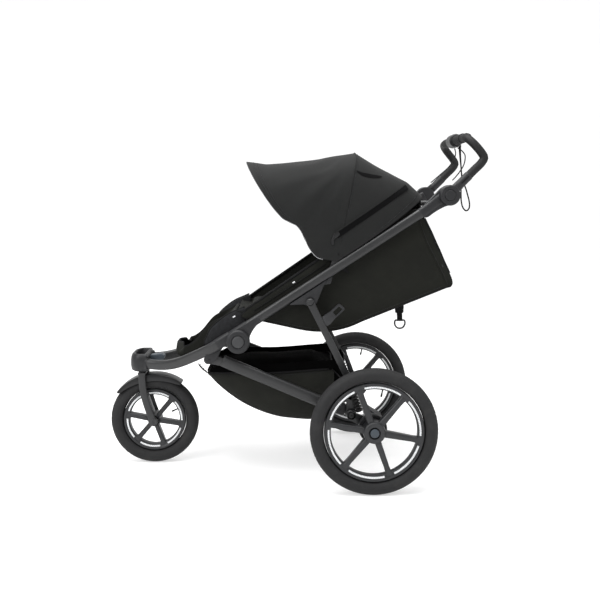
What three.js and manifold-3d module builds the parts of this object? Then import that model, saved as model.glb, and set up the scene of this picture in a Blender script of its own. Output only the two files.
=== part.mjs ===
// Three-wheeled jogging stroller: folding aluminium frame, reclining fabric seat, two-bow canopy,
// cargo basket, sprung rear axle, swivelling front wheel and adjustable handlebar.
// Millimetres, +X forward, +Y to the stroller's left, +Z up. Lengths along X below are measured from
// the rear axle; the finished group is moved so that the origin lies under the middle of the stroller.
import * as THREE from 'three';
import { mergeVertices } from 'three/addons/utils/BufferGeometryUtils.js';
import Module from 'manifold-3d';

const wasm = await Module();
wasm.setup();

// ---- driving dimensions -------------------------------------------------------------------------
const GAP = 0.3; // clearance between touching pieces
const MIDDLE_X = 256; // middle of the stroller, forward of the rear axle

const REAR_WHEEL = { radius: 200, rimRadius: 157, halfWidth: 22, hubRadius: 35, x: 0, y: 320 };
const FRONT_WHEEL = { radius: 153, rimRadius: 109, halfWidth: 24, hubRadius: 27, x: 731, y: 0 };
const OVERALL_HALF_WIDTH = 345;
const SPOKES = 6;
const WHEEL_SIDES = 32;

const TUBE_Y = 205; // centre plane of the upper side tubes
const TUBE_HALF_WIDTH = 12;
const TUBE_HALF_HEIGHT = 15;
const FRONT_TUBE_HALF_HEIGHT = 17;
const TUBE_START = { x: 449, z: 480 }; // lower front end of the upper tubes
const TUBE_SLOPE = 0.65; // rise per unit run towards the handlebar
const TUBE_END_X = -166;

const HUB = { x: 426, z: 465, radius: 38 }; // main fold pivot
const LEG_PIVOT = { x: 195, z: 591 };
const LEG_Y = 226;
const LEG_HALF_THICKNESS = 7;
const LOWER_PIVOT = { x: 64, z: 231 }; // lower tube and trailing arm pivot
const LINK_PIVOT = { x: 525, z: 398 }; // front end of the lower tubes
const HANDLE_PIVOT = { x: -248, z: 932, radius: 33 };
const CANOPY_PIVOT = { x: 105, z: 745 };
const RECLINE_PIVOT = { x: 122, z: 500 };
const SWIVEL_X = 770;

const SEAT_HALF_WIDTH = 176;
const SEAT_SIDE_Y = [178, 186];
const CANOPY_HALF_WIDTH = 213;
const CANOPY_SKIN = 6;
const BOW_RADIUS = 3.5;
const BASKET_HALF_WIDTH = 152;
const BASKET_SKIN = 5;

// ---- materials ----------------------------------------------------------------------------------
const finish = (color, roughness, metalness) => (
  new THREE.MeshStandardMaterial({ color, roughness, metalness })
);
const PAINT = () => finish(0x3a3a3b, 0.45, 0.6);
const PLASTIC = () => finish(0x2b2c2f, 0.6, 0);
const ACCENT = () => finish(0x49515c, 0.5, 0);
const FABRIC = () => finish(0x1d1e1d, 0.95, 0);
const TYRE = () => finish(0x2a2a2a, 0.9, 0);
const METAL = () => finish(0x8b8d8f, 0.35, 1);

// ---- geometry helpers ---------------------------------------------------------------------------
const stroller = new THREE.Group();
stroller.position.x = -MIDDLE_X;

// Merges equal vertices, drops collapsed triangles and makes every face point outward.
function solid(geometry) {
  const bare = geometry.clone();
  for (const attribute of ['normal', 'uv']) bare.deleteAttribute(attribute);
  const merged = mergeVertices(bare, 1e-3);
  const index = merged.index.array;
  const position = merged.attributes.position;
  const corner = [new THREE.Vector3(), new THREE.Vector3(), new THREE.Vector3()];
  const triangles = [];
  let volume = 0;
  for (let i = 0; i < index.length; i += 3) {
    const [a, b, c] = [index[i], index[i + 1], index[i + 2]];
    if (a === b || b === c || a === c) continue;
    triangles.push([a, b, c]);
    [a, b, c].forEach((vertex, k) => corner[k].fromBufferAttribute(position, vertex));
    volume += corner[0].dot(corner[1].cross(corner[2]));
  }
  merged.setIndex(triangles.flatMap(([a, b, c]) => (volume < 0 ? [a, c, b] : [a, b, c])));
  return merged;
}

function toManifold(geometry) {
  const clean = solid(geometry);
  return new wasm.Manifold(new wasm.Mesh({
    numProp: 3,
    vertProperties: new Float32Array(clean.attributes.position.array),
    triVerts: new Uint32Array(clean.index.array),
  }));
}

function fromManifold(manifold) {
  const mesh = manifold.getMesh();
  const geometry = new THREE.BufferGeometry();
  geometry.setAttribute('position', new THREE.BufferAttribute(new Float32Array(mesh.vertProperties), 3));
  geometry.setIndex(Array.from(mesh.triVerts));
  return geometry;
}

function join(...geometries) {
  return fromManifold(geometries.map(toManifold).reduce((sum, next) => sum.add(next)));
}

function cut(geometry, ...tools) {
  const removed = tools.map(toManifold);
  return fromManifold(removed.reduce((rest, tool) => rest.subtract(tool), toManifold(geometry)));
}

function common(first, second) {
  return fromManifold(toManifold(first).intersect(toManifold(second)));
}

function add(name, geometry, material) {
  const mesh = new THREE.Mesh(solid(geometry), material);
  mesh.name = name;
  stroller.add(mesh);
}

// Adds the left-hand piece and its mirror image on the right.
function addPair(name, geometry, makeMaterial) {
  add(`${name}_l`, geometry, makeMaterial());
  add(`${name}_r`, geometry.clone().scale(1, -1, 1), makeMaterial());
}

// A side-view outline, given as [x, z] points or a THREE.Shape, made solid from y0 to y1.
function plate(outline, y0, y1) {
  const shape = outline instanceof THREE.Shape
    ? outline : new THREE.Shape(outline.map(([x, z]) => new THREE.Vector2(x, z)));
  const settings = { depth: y1 - y0, bevelEnabled: false, curveSegments: 6 };
  return new THREE.ExtrudeGeometry(shape, settings).rotateX(Math.PI / 2).translate(0, y1, 0);
}

function disc(x, z, radius, y0, y1, sides = 16) {
  const geometry = new THREE.CylinderGeometry(radius, radius, y1 - y0, sides);
  return geometry.translate(x, (y0 + y1) / 2, z);
}

// A solid of revolution about a cross-wise axis; the profile is a list of [radius, y].
function turned(profile, x, z, sides = 24) {
  const points = profile.map(([radius, y]) => new THREE.Vector2(radius, y));
  return new THREE.LatheGeometry(points, sides).translate(x, 0, z);
}

// An oval bar swept along [x, y, z] points; a is its half size across, b in its own plane.
function bar(points, a, b, steps, sides = 12) {
  const section = new THREE.Shape();
  for (let i = 0; i < sides; i += 1) {
    const angle = (2 * Math.PI * (i + 0.5)) / sides;
    const [x, y] = [a * Math.cos(angle), b * Math.sin(angle)];
    if (i === 0) section.moveTo(x, y);
    else section.lineTo(x, y);
  }
  return sweep(section, points, steps);
}

// A flat pad of the given width swept along side-view [x, z] points.
function pad(points, halfWidth, halfThickness, steps) {
  const section = new THREE.Shape([
    new THREE.Vector2(-halfWidth, -halfThickness), new THREE.Vector2(halfWidth, -halfThickness),
    new THREE.Vector2(halfWidth, halfThickness), new THREE.Vector2(-halfWidth, halfThickness),
  ]);
  return sweep(section, points.map(([x, z]) => [x, 0, z]), steps);
}

function sweep(section, points, steps) {
  const path = points.length === 2
    ? new THREE.LineCurve3(...points.map((point) => new THREE.Vector3(...point)))
    : new THREE.CatmullRomCurve3(points.map((point) => new THREE.Vector3(...point)), false, 'centripetal');
  return new THREE.ExtrudeGeometry(section, { steps, extrudePath: path, bevelEnabled: false });
}

const tubeLine = (x) => TUBE_START.z + TUBE_SLOPE * (TUBE_START.x - x); // height of the upper tubes' axis
const onFan = (angle, radius) => {
  const radians = THREE.MathUtils.degToRad(angle);
  return [CANOPY_PIVOT.x + radius * Math.cos(radians), CANOPY_PIVOT.z + radius * Math.sin(radians)];
};

// ---- upper frame --------------------------------------------------------------------------------
function upperFrame() {
  // The tube's outer side is relieved under the fold hub, so its flat ends behind the hub.
  const hubRelief = new THREE.BoxGeometry(80, 20, 160);
  hubRelief.translate(TUBE_START.x - 29, TUBE_Y + 21, TUBE_START.z);
  const tube = cut(
    bar([[TUBE_START.x, TUBE_Y, tubeLine(TUBE_START.x)], [TUBE_END_X, TUBE_Y, tubeLine(TUBE_END_X)]],
      TUBE_HALF_WIDTH, TUBE_HALF_HEIGHT, 1, 16),
    hubRelief,
  );
  const foot = tubeLine(CANOPY_PIVOT.x) + 12;
  const canopyLug = join(
    plate([[130, foot - 16], [76, foot + 20], [92, 758], [118, 748]], 193.4, 205),
    disc(CANOPY_PIVOT.x, CANOPY_PIVOT.z, 16, 193.4, 205, 20),
  );
  addPair('upper_tube', join(tube, canopyLug), PAINT);

  // Plastic housing that continues each tube and carries the handlebar pivot.
  const { x, z, radius } = HANDLE_PIVOT;
  const housing = join(
    plate([[-172, 861], [-156, 886], [-226, 961], [-262, 963], [-281, 934], [-262, 901], [-236, 899],
      [-205, 880]], 190, 211),
    disc(x, z, radius, 190, 211, 24),
  );
  const slice = plate([[-100, 700], [-100, 960], [TUBE_END_X + 6, tubeLine(TUBE_END_X) + 40],
    [TUBE_END_X - 16, tubeLine(TUBE_END_X) - 8], [TUBE_END_X - 5, 700]], 180, 220);
  addPair('handle_housing', cut(housing, slice), PLASTIC);
  add('rear_cross_tube', disc(-204, 905, 10, -189.6, 189.6, 16), PAINT());

  // Fold hubs: outer disc with a raised cap, on a bush that reaches in to the front frame's hinge plate.
  const hub = turned([[0, 193], [8, 193], [8, 217.5], [HUB.radius, 217.5], [HUB.radius, 229],
    [HUB.radius - 5, 234], [21, 234], [19, 232], [18, 235], [0, 235]], HUB.x, HUB.z, 20);
  addPair('fold_hub', hub, PLASTIC);

  // Brackets below the tubes that hold the rear legs.
  const bracketTop = (at) => [at, tubeLine(at) - TUBE_HALF_HEIGHT / Math.cos(Math.atan(TUBE_SLOPE)) - GAP];
  const bracket = join(
    plate([bracketTop(262), bracketTop(146), [178, 583], [195, 577], [212, 583]], 197, 218.5),
    disc(LEG_PIVOT.x, LEG_PIVOT.z, 13, 197, 218.5, 20),
  );
  const stud = join(plate([bracketTop(160), bracketTop(124), [129, 650], [142, 648]], 205, 214),
    disc(136, 654.5, 5, 205, LEG_Y - LEG_HALF_THICKNESS + 0.4, 8));
  addPair('leg_bracket', join(bracket, stud), PLASTIC);
}

// ---- seat ---------------------------------------------------------------------------------------
function seat() {
  const side = new THREE.Shape();
  side.moveTo(418, 540);
  side.quadraticCurveTo(404, 560, 380, 580);
  side.lineTo(156, 734);
  side.lineTo(-60, 850);
  side.quadraticCurveTo(-120, 890, -160, 884);
  side.lineTo(-172, 862);
  side.quadraticCurveTo(-215, 770, -262, 668);
  side.quadraticCurveTo(-276, 634, -250, 634);
  side.lineTo(27, 524);
  side.quadraticCurveTo(120, 476, 228, 499);
  side.lineTo(350, 526);
  side.quadraticCurveTo(398, 530, 418, 540);
  addPair('seat_side', plate(side, ...SEAT_SIDE_Y), FABRIC);

  add('seat_base', pad([[408, 556], [330, 548], [240, 526], [146, 512]], SEAT_HALF_WIDTH, 14, 6), FABRIC());
  add('backrest', pad([[112, 516], [30, 548], [-110, 604], [-244, 658]], SEAT_HALF_WIDTH - 2, 13, 6), FABRIC());
  add('head_panel', pad([[-262, 680], [-222, 770], [-180, 858]], SEAT_HALF_WIDTH - 2, 4, 4), FABRIC());

  // Pull strap and D-ring below the backrest.
  const strapY = 45;
  const strap = plate([[-110, 504], [-106, 582], [-124, 589], [-128, 504]], strapY - 2, strapY + 2);
  const ringOuter = new THREE.Shape();
  ringOuter.moveTo(-99, 500);
  ringOuter.quadraticCurveTo(-99, 506.5, -105, 506.5);
  ringOuter.lineTo(-133, 506.5);
  ringOuter.quadraticCurveTo(-139, 506.5, -139, 500);
  ringOuter.quadraticCurveTo(-139, 474, -119, 474);
  ringOuter.quadraticCurveTo(-99, 474, -99, 500);
  const ringHole = new THREE.Path();
  ringHole.moveTo(-104, 501);
  ringHole.lineTo(-134, 501);
  ringHole.quadraticCurveTo(-134, 479, -119, 479);
  ringHole.quadraticCurveTo(-104, 479, -104, 501);
  ringOuter.holes.push(ringHole);
  add('recline_ring', join(strap, plate(ringOuter, strapY - 2.5, strapY + 2.5)), METAL());

  // Harness buckle with its release button.
  const buckle = plate([[203, 541], [229, 546], [225, 562], [199, 557]], -22, 22);
  const pocket = plate([[209, 553], [219, 555], [216, 572], [206, 570]], -9, 9);
  add('harness_buckle', cut(buckle, pocket), PLASTIC());
  const button = plate([[208.9, 556.3], [218, 558.1], [216.6, 564.6], [207.6, 562.8]], -8.6, 8.6);
  add('buckle_button', button, ACCENT());
}

// ---- canopy -------------------------------------------------------------------------------------
const REAR_ANGLE = 147;
const MID_ANGLE = 101;
const FRONT_ANGLE = 47;
// The crown's outline as fan angles and radii, straight in between: rear edge, rear seam, the two bows, front rim.
const CROWN = [[147, 318], [136, 336], [MID_ANGLE, 335.5], [51, 377], [45, 419]];
const CANOPY_FOOT = 26; // radius of the fabric's gathered foot at the pivot
const RIM_LEAN = 12.5; // degrees by which the front rim swings forward below its crown
const FOOT_SWEEP = 50; // further degrees by which it swings forward near its foot
const SWEEP_RADIUS = 160; // radius below which that starts

// Radius of the crown at a fan angle, on the straight line between its two neighbours in CROWN.
function crownRadius(angle) {
  const next = Math.min(CROWN.length - 1, Math.max(1, CROWN.findIndex(([mark]) => mark <= angle)));
  const [[fromAngle, fromRadius], [toAngle, toRadius]] = [CROWN[next - 1], CROWN[next]];
  const sine = (degrees) => Math.sin(THREE.MathUtils.degToRad(degrees));
  return sine(fromAngle - toAngle)
    / (sine(angle - toAngle) / fromRadius + sine(fromAngle - angle) / toRadius);
}

// One point of the canopy. Angle is that of the fan in degrees, frontShare runs from 0 at the middle bow
// to 1 at the front rim, across from -1 to 1 over the arch, and skin is the depth below the outer face.
function canopyPoint(angle, frontShare, across, skin) {
  const crown = crownRadius(angle);
  const lean = Math.sin((across * Math.PI) / 2);
  const up = Math.max(0, Math.cos((across * Math.PI) / 2));
  const y = (CANOPY_HALF_WIDTH - skin) * Math.sign(lean) * Math.abs(lean) ** 0.62;
  const radius = CANOPY_FOOT + (crown - skin - CANOPY_FOOT) * up ** 0.36;
  const sweep = RIM_LEAN * THREE.MathUtils.clamp((crown - radius) / 200, 0, 1)
    + FOOT_SWEEP * (Math.max(0, SWEEP_RADIUS - radius) / 105) ** 1.6;
  const rim = angle - sweep * frontShare;
  const [x, z] = onFan(rim, radius);
  return new THREE.Vector3(x, y, z);
}

// A closed shell between an outer and an inner grid of points.
function gridShell(outer, inner, columns, rows) {
  const position = [];
  const index = [];
  for (const face of [outer, inner]) {
    for (let i = 0; i <= columns; i += 1) {
      for (let j = 0; j <= rows; j += 1) position.push(...face(i / columns, j / rows).toArray());
    }
  }
  const count = (columns + 1) * (rows + 1);
  const at = (face, i, j) => face * count + i * (rows + 1) + j;
  const quad = (a, b, c, d) => index.push(a, b, c, a, c, d);
  for (let i = 0; i < columns; i += 1) {
    for (let j = 0; j < rows; j += 1) {
      quad(at(0, i, j), at(0, i + 1, j), at(0, i + 1, j + 1), at(0, i, j + 1));
      quad(at(1, i, j), at(1, i, j + 1), at(1, i + 1, j + 1), at(1, i + 1, j));
    }
    quad(at(0, i, 0), at(1, i, 0), at(1, i + 1, 0), at(0, i + 1, 0));
    quad(at(0, i, rows), at(0, i + 1, rows), at(1, i + 1, rows), at(1, i, rows));
  }
  for (let j = 0; j < rows; j += 1) {
    quad(at(0, 0, j), at(0, 0, j + 1), at(1, 0, j + 1), at(1, 0, j));
    quad(at(0, columns, j), at(1, columns, j), at(1, columns, j + 1), at(0, columns, j + 1));
  }
  const geometry = new THREE.BufferGeometry();
  geometry.setAttribute('position', new THREE.Float32BufferAttribute(position, 3));
  geometry.setIndex(index);
  return geometry;
}

function canopySection(from, to, frontShare, columns) {
  const denser = (t) => (3 * t - t ** 3) / 2; // brings the stations closer together near the feet
  const point = (skin) => (u, v) => canopyPoint(
    THREE.MathUtils.lerp(from, to, u), frontShare * u, denser(2 * v - 1), skin);
  return gridShell(point(0), point(CANOPY_SKIN), columns, 20);
}

// A thin hoop from one pivot over the child to the other, in the plane at the given fan angle.
function bow(angle, inset) {
  const start = 34;
  const stations = [0.985, 0.94, 0.86, 0.72, 0.5, 0.25, 0];
  const [x, z] = onFan(angle, start);
  const left = [[x, CANOPY_HALF_WIDTH - inset, z],
    ...stations.map((across) => canopyPoint(angle, 0, across, inset).toArray())];
  const right = left.slice(0, -1).reverse().map(([px, y, pz]) => [px, -y, pz]);
  return bar([...left, ...right], BOW_RADIUS, BOW_RADIUS, 24, 6);
}

function canopy() {
  add('canopy_rear', canopySection(REAR_ANGLE, MID_ANGLE + 0.2, 0, 5), FABRIC());
  add('canopy_front', canopySection(MID_ANGLE - 0.2, FRONT_ANGLE - 2, 1, 7), FABRIC());
  add('canopy_mid_bow', bow(MID_ANGLE, CANOPY_SKIN + BOW_RADIUS + 3), METAL());
  add('canopy_front_bow', bow(FRONT_ANGLE + 3, CANOPY_SKIN + BOW_RADIUS + 8), METAL());
}

// ---- handlebar ----------------------------------------------------------------------------------
const HANDLE_TOP = { x: -308, z: 1119 };
const HANDLE_RADIUS = 13.5;
function handlebar() {
  const { x: topX, z: topZ } = HANDLE_TOP;
  const halfPath = [[-272, 208, 957], [-300, 208, 985], [-328, 208, 1013], [-350, 207.5, 1035],
    [-358.6, 207, 1051], [-351, 206.5, 1066], [-334, 205, 1087], [-319, 197, 1104], [-310, 180, 1115],
    [topX, 156, topZ], [topX, 138, topZ], [topX, 60, topZ]];
  const mirrored = halfPath.slice().reverse().map(([x, y, z]) => [x, -y, z]);
  add('handlebar', bar([...halfPath, ...mirrored], HANDLE_RADIUS, HANDLE_RADIUS, 44, 10), PAINT());

  // Grip: one sleeve over the crossbar, with the twist control around its middle.
  const sleeve = turned([[14.2, -132], [16, -130], [16, 130], [14.2, 132], [14.2, -132]],
    HANDLE_TOP.x, HANDLE_TOP.z, 16);
  add('handle_grip', sleeve, PLASTIC());

  // Twist control for the hand brake at the middle of the crossbar.
  const control = turned([[16.6, -36], [19, -36], [23, -26], [23, 26], [19, 36], [16.6, 36], [16.6, -36]],
    HANDLE_TOP.x, HANDLE_TOP.z, 20);
  add('brake_control', control, PLASTIC());

  // Handle hubs with their push buttons.
  const { x, z, radius } = HANDLE_PIVOT;
  const arm = plate([[-245, 957], [-284, 999], [-302, 981], [-272, 948]], 188, 228);
  const reach = cut(arm, disc(x, z, radius + 4, 180, 211.6, 24),
    bar([[-262, 208, 947], [-328, 208, 1013]], HANDLE_RADIUS + 0.8, HANDLE_RADIUS + 0.8, 1, 12));
  const face = [[0, 212], [radius, 212], [radius, 227], [radius - 4, 232], [17.5, 232], [17.5, 223.5],
    [0, 223.5]];
  const hub = turned(face, x, z, 20);
  addPair('handle_hub', join(hub, reach), PLASTIC);
  addPair('handle_button', disc(x, z, 17, 227, 232.5, 16), PLASTIC);

  // Brake cables and wrist strap.
  const cable = [[-316, 24, 1094.5], [-325, 50, 1082], [-328, 78, 1066], [-316, 118, 1036],
    [-292, 158, 1008], [-272, 178, 988], [-264, 183, 981]];
  addPair('brake_cable', bar(cable, 2, 2, 16, 8), PLASTIC);
  const strap = [[-324, 8, 1098], [-327, 10, 1064], [-331, 10, 1030], [-334, 8, 996], [-333, 7, 966],
    [-333, 7, 937], [-335, 7, 908], [-342, 6, 888], [-353, 4, 880], [-363, 2, 889], [-364, 0, 908],
    [-358, -1, 934], [-350, -3, 961], [-341, -4, 984], [-336, -4, 1012], [-333, -3, 1045], [-331, -2, 1072],
    [-330, 0, 1097]];
  add('wrist_strap', bar(strap, 2.5, 2.5, 44, 8), FABRIC());
}

// ---- front frame --------------------------------------------------------------------------------
function frontFrame() {
  const path = [[TUBE_START.x + 1.2, TUBE_Y, tubeLine(TUBE_START.x) - 1], [478, 205, 463], [516, 194, 438],
    [554, 170, 416], [590, 144, 396], [626, 120, 378], [664, 97, 365], [704, 76, 359], [750, 56, 359]];
  const block = new THREE.BoxGeometry(60, 400, 200).translate(774.7, 0, 380);
  const tube = cut(bar(path, TUBE_HALF_WIDTH, FRONT_TUBE_HALF_HEIGHT, 18, 12), block);
  addPair('front_tube', tube, PAINT);

  const inner = join(
    disc(HUB.x, HUB.z, 34, 177, 192.6, 28),
    plate([[430, 499], [458, 492], [492, 470], [486, 446], [440, 436]], 184.5, 192.6),
  );
  const clear = bar(path, TUBE_HALF_WIDTH + GAP, FRONT_TUBE_HALF_HEIGHT + GAP, 18, 12);
  const link = plate([[470, 446], [486, 376], [520, 381], [545, 384], [556, 396], [540, 414], [508, 440]],
    191.5, 197);
  addPair('front_hinge', cut(join(inner, link), clear), PLASTIC);

  const sideView = [[745, 341], [745, 384], [756, 392], [778, 394], [797, 389], [808, 377], [809, 362],
    [801, 346], [792, 338], [788, 331], [752, 331], [748, 338]];
  const topView = new THREE.Shape();
  topView.moveTo(740, -70);
  topView.lineTo(772, -66);
  topView.quadraticCurveTo(806, -44, 810, 0);
  topView.quadraticCurveTo(806, 44, 772, 66);
  topView.lineTo(740, 70);
  const column = new THREE.ExtrudeGeometry(topView, { depth: 100, bevelEnabled: false, curveSegments: 8 });
  column.translate(0, 0, 320);
  add('head_block', common(plate(sideView, -70, 70), column), PLASTIC());
  add('swivel_lock', plate([[744, 362], [744, 380], [700, 384], [694, 372], [700, 362]], -16, 16), ACCENT());

  const scoop = pad([[440, 548], [474, 510], [514, 462], [552, 418], [588, 394], [620, 388], [640, 400],
    [644, 430]], 86, 5, 12);
  add('footrest', scoop, FABRIC());
}

// ---- wheels -------------------------------------------------------------------------------------
function wheel(size, hubInner, hubOuter, bore) {
  const { radius, rimRadius, halfWidth, hubRadius, x, y } = size;
  const z = radius;
  const middle = (radius + rimRadius) / 2;
  const reach = (radius - rimRadius) / 2;
  const section = [];
  const corners = 8;
  for (let i = 0; i <= corners; i += 1) {
    const angle = (2 * Math.PI * i) / corners;
    section.push([middle + reach * Math.cos(angle), y + halfWidth * Math.sin(angle)]);
  }
  const deep = rimRadius - 22;
  const rimHalf = halfWidth * 0.62;
  // The seat of the rim lies clear inside the tyre's round foot.
  const rimProfile = [[deep, y - rimHalf + 4], [rimRadius - 3, y - rimHalf], [rimRadius - 0.6, y - 4],
    [rimRadius - 0.6, y + 4], [rimRadius - 3, y + rimHalf], [deep, y + rimHalf - 4], [deep, y - rimHalf + 4]];
  const hub = turned([[bore, hubInner], [hubRadius - 4, hubInner], [hubRadius, hubInner + 5],
    [hubRadius, y + 8], [hubRadius - 12, hubOuter], [bore, hubOuter], [bore, hubInner]], x, z, 16);
  const spokes = [];
  for (let k = 0; k < SPOKES; k += 1) {
    const arm = plate([[bore + 8, -10], [deep + 6, -8], [deep + 6, 8], [bore + 8, 10]], y - 7, y + 7);
    spokes.push(arm.rotateY(THREE.MathUtils.degToRad(-10.5 - 60 * k)).translate(x, 0, z));
  }
  return {
    tyre: turned(section, x, z, WHEEL_SIDES),
    rim: join(turned(rimProfile, x, z, WHEEL_SIDES), hub, ...spokes),
  };
}

function frontWheel() {
  const { x, radius: z } = FRONT_WHEEL;
  const { tyre, rim } = wheel(FRONT_WHEEL, -30, 30, 6.3);
  add('front_tyre', tyre, TYRE());
  add('front_rim', rim, PLASTIC());
  add('front_axle', disc(x, z, 6, -33.6, 33.6, 16), METAL());

  const leg = join(
    plate([[780, 320], [775, 250], [745, 148], [719, 158], [748, 250], [755, 320]], 34, 46),
    disc(x, z, 15, 34, 48, 16),
  );
  const crown = join(plate([[786, 319], [786, 326], [752, 326], [752, 319]], -46, 46),
    new THREE.CylinderGeometry(16, 18, 6, 20).rotateX(Math.PI / 2).translate(SWIVEL_X, 0, 327.6));
  add('front_fork', join(leg, leg.clone().scale(1, -1, 1), crown), PAINT());

  const fender = new THREE.Shape();
  const [inner, outer] = [159, 163.5];
  const [tipAngle, tailAngle] = [0.66, 2.21];
  fender.absarc(0, 0, outer, tipAngle, tailAngle);
  fender.absarc(0, 0, inner, tailAngle, tipAngle, true);
  add('front_fender', plate(fender, -29, 29).translate(x, 0, z), PLASTIC());
}

// ---- rear legs, lower frame, axle ---------------------------------------------------------------
function rearLegs() {
  const [y0, y1] = [LEG_Y - LEG_HALF_THICKNESS, LEG_Y + LEG_HALF_THICKNESS];
  const toAxle = Math.atan2(REAR_WHEEL.radius - LEG_PIVOT.z, -LEG_PIVOT.x);
  const along = (distance, offset) => [
    LEG_PIVOT.x + distance * Math.cos(toAxle) - offset * Math.sin(toAxle),
    LEG_PIVOT.z + distance * Math.sin(toAxle) + offset * Math.cos(toAxle),
  ];
  const leg = join(
    plate([along(0, 12), along(40, 11), along(285, 11), along(300, 20), along(330, 34), along(345, 20),
      along(300, -11), along(40, -11), along(0, -12)], y0, y1),
    disc(LEG_PIVOT.x, LEG_PIVOT.z, 13, y0, y1, 16),
    disc(LOWER_PIVOT.x, LOWER_PIVOT.z, 17, y0, y1, 16),
    plate([along(280, 11), [LOWER_PIVOT.x + 14, LOWER_PIVOT.z + 4], [LOWER_PIVOT.x - 14, LOWER_PIVOT.z - 2],
      along(296, -11)], y0, y1),
    plate([along(270, 11), along(270, -11), [46, 326], [48, 310], [80, 306]], y0, y1 + 26),
  );
  const right = leg.clone().scale(1, -1, 1);
  add('rear_legs', join(leg, right, disc(62, 290, 10, -LEG_Y, LEG_Y, 16)), PAINT());

  // Spring clip whose window comes to rest over the stud under the upper tube when folded.
  const hookOutline = [[56, -12], [92, -12], [91, -26], [80, -48], [69, -86], [66, -90], [47, -83], [44, -77],
    [54, -44]];
  const hook = plate(hookOutline.map(([distance, offset]) => along(distance, offset)), y0 + 1, y1 - 1);
  const window = plate([along(59, -50), along(74.5, -53.5), along(64.5, -82), along(51, -76)], y0 - 5, y1 + 5);
  add('latch_hook', cut(hook, window), PLASTIC());
}

function lowerFrame() {
  const { x, z } = LOWER_PIVOT;
  const tube = bar([[479, 181, 395], [330, 190, 334], [170, 202, 269], [x + 12, 207, z + 4]],
    TUBE_HALF_WIDTH, 19, 5, 12);
  const tongue = plate([[496, 412], [LINK_PIVOT.x + 2, LINK_PIVOT.z + 9], [LINK_PIVOT.x + 6, LINK_PIVOT.z - 9],
    [488, 380], [470, 386], [470, 400]], 184, 190);
  const left = join(tube, tongue, disc(x, z, 19, 196, 218, 20));
  const right = left.clone().scale(1, -1, 1);
  add('lower_tubes', join(left, right, disc(84, 236, 9, -205, 205, 16)), PAINT());

  const basketOutline = (skin) => {
    const shape = new THREE.Shape();
    shape.moveTo(534 - skin, 372 + 10 * Math.sign(skin));
    shape.quadraticCurveTo(500 - skin, 300 + skin, 422, 248 + skin);
    shape.quadraticCurveTo(350, 206 + skin, 280, 194 + skin);
    shape.lineTo(196, 186 + skin);
    shape.quadraticCurveTo(118 + skin, 190 + skin, 113 + skin, 250);
    shape.lineTo(113 + skin, 366 + 10 * Math.sign(skin));
    return shape;
  };
  const basket = cut(plate(basketOutline(0), -BASKET_HALF_WIDTH, BASKET_HALF_WIDTH),
    plate(basketOutline(BASKET_SKIN), -BASKET_HALF_WIDTH + BASKET_SKIN, BASKET_HALF_WIDTH - BASKET_SKIN));
  add('basket', basket, FABRIC());
}

function rearAxle() {
  const { radius: z, y } = REAR_WHEEL;
  const arm = join(
    plate([[LOWER_PIVOT.x + 8, LOWER_PIVOT.z + 14], [LOWER_PIVOT.x + 14, LOWER_PIVOT.z - 10], [10, 182],
      [-12, 186], [-8, 216]], 236, 250),
    disc(LOWER_PIVOT.x, LOWER_PIVOT.z, 16, 236, 250, 16),
    disc(0, z, 20, 236, 250, 16),
    disc(0, z, 10, 236, 334, 16),
  );
  const otherArm = arm.clone().scale(1, -1, 1);
  add('axle_beam', join(arm, otherArm, disc(0, z, 12, -240, 240, 16)), PAINT());
  const drum = [[10.3, 265], [36, 265], [45, 270], [45, 292], [10.3, 292], [10.3, 265]];
  addPair('brake_drum', turned(drum, 0, z, 24), PLASTIC);

  // Rubber-covered shock absorbers between leg and arm.
  const bellows = [[0, 0]];
  const folds = 5;
  const height = 62;
  for (let i = 0; i <= folds * 2; i += 1) bellows.push([i % 2 ? 9 : 13, (i * height) / (folds * 2)]);
  bellows.push([0, height]);
  const shock = new THREE.LatheGeometry(bellows.map(([r, h]) => new THREE.Vector2(r, h)), 10);
  shock.rotateX(Math.PI / 2).rotateY(0.33).translate(39, 250, 244);
  addPair('shock_bellows', shock, TYRE);

  const pedal = plate([[-22, 186], [-14, 168], [-50, 146], [-66, 150], [-64, 160], [-30, 182]], -34, 34);
  add('brake_pedal', cut(pedal, disc(0, z, 13.2, -60, 60, 24)), PLASTIC());

  const rearWheel = wheel(REAR_WHEEL, y - 26.5, y + 22, 10.3);
  addPair('rear_tyre', rearWheel.tyre, TYRE);
  const pocket = disc(0, z, 14.2, y + 15.5, y + 30, 16);
  addPair('rear_rim', cut(rearWheel.rim, pocket), PLASTIC);
  addPair('wheel_release', disc(0, z, 13.6, y + 19, OVERALL_HALF_WIDTH, 16), ACCENT);
}

upperFrame();
seat();
canopy();
handlebar();
frontFrame();
frontWheel();
rearLegs();
lowerFrame();
rearAxle();

export default stroller;
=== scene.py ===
"""Looks of the jogging stroller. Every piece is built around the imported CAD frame.

Shapes are given in millimetres, with x measured from the rear axle, y to the stroller's left and z up;
at() turns such a point into the row frame in metres.
"""
import math

import bmesh
import bpy
from mathutils import Matrix, Vector, noise


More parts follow.
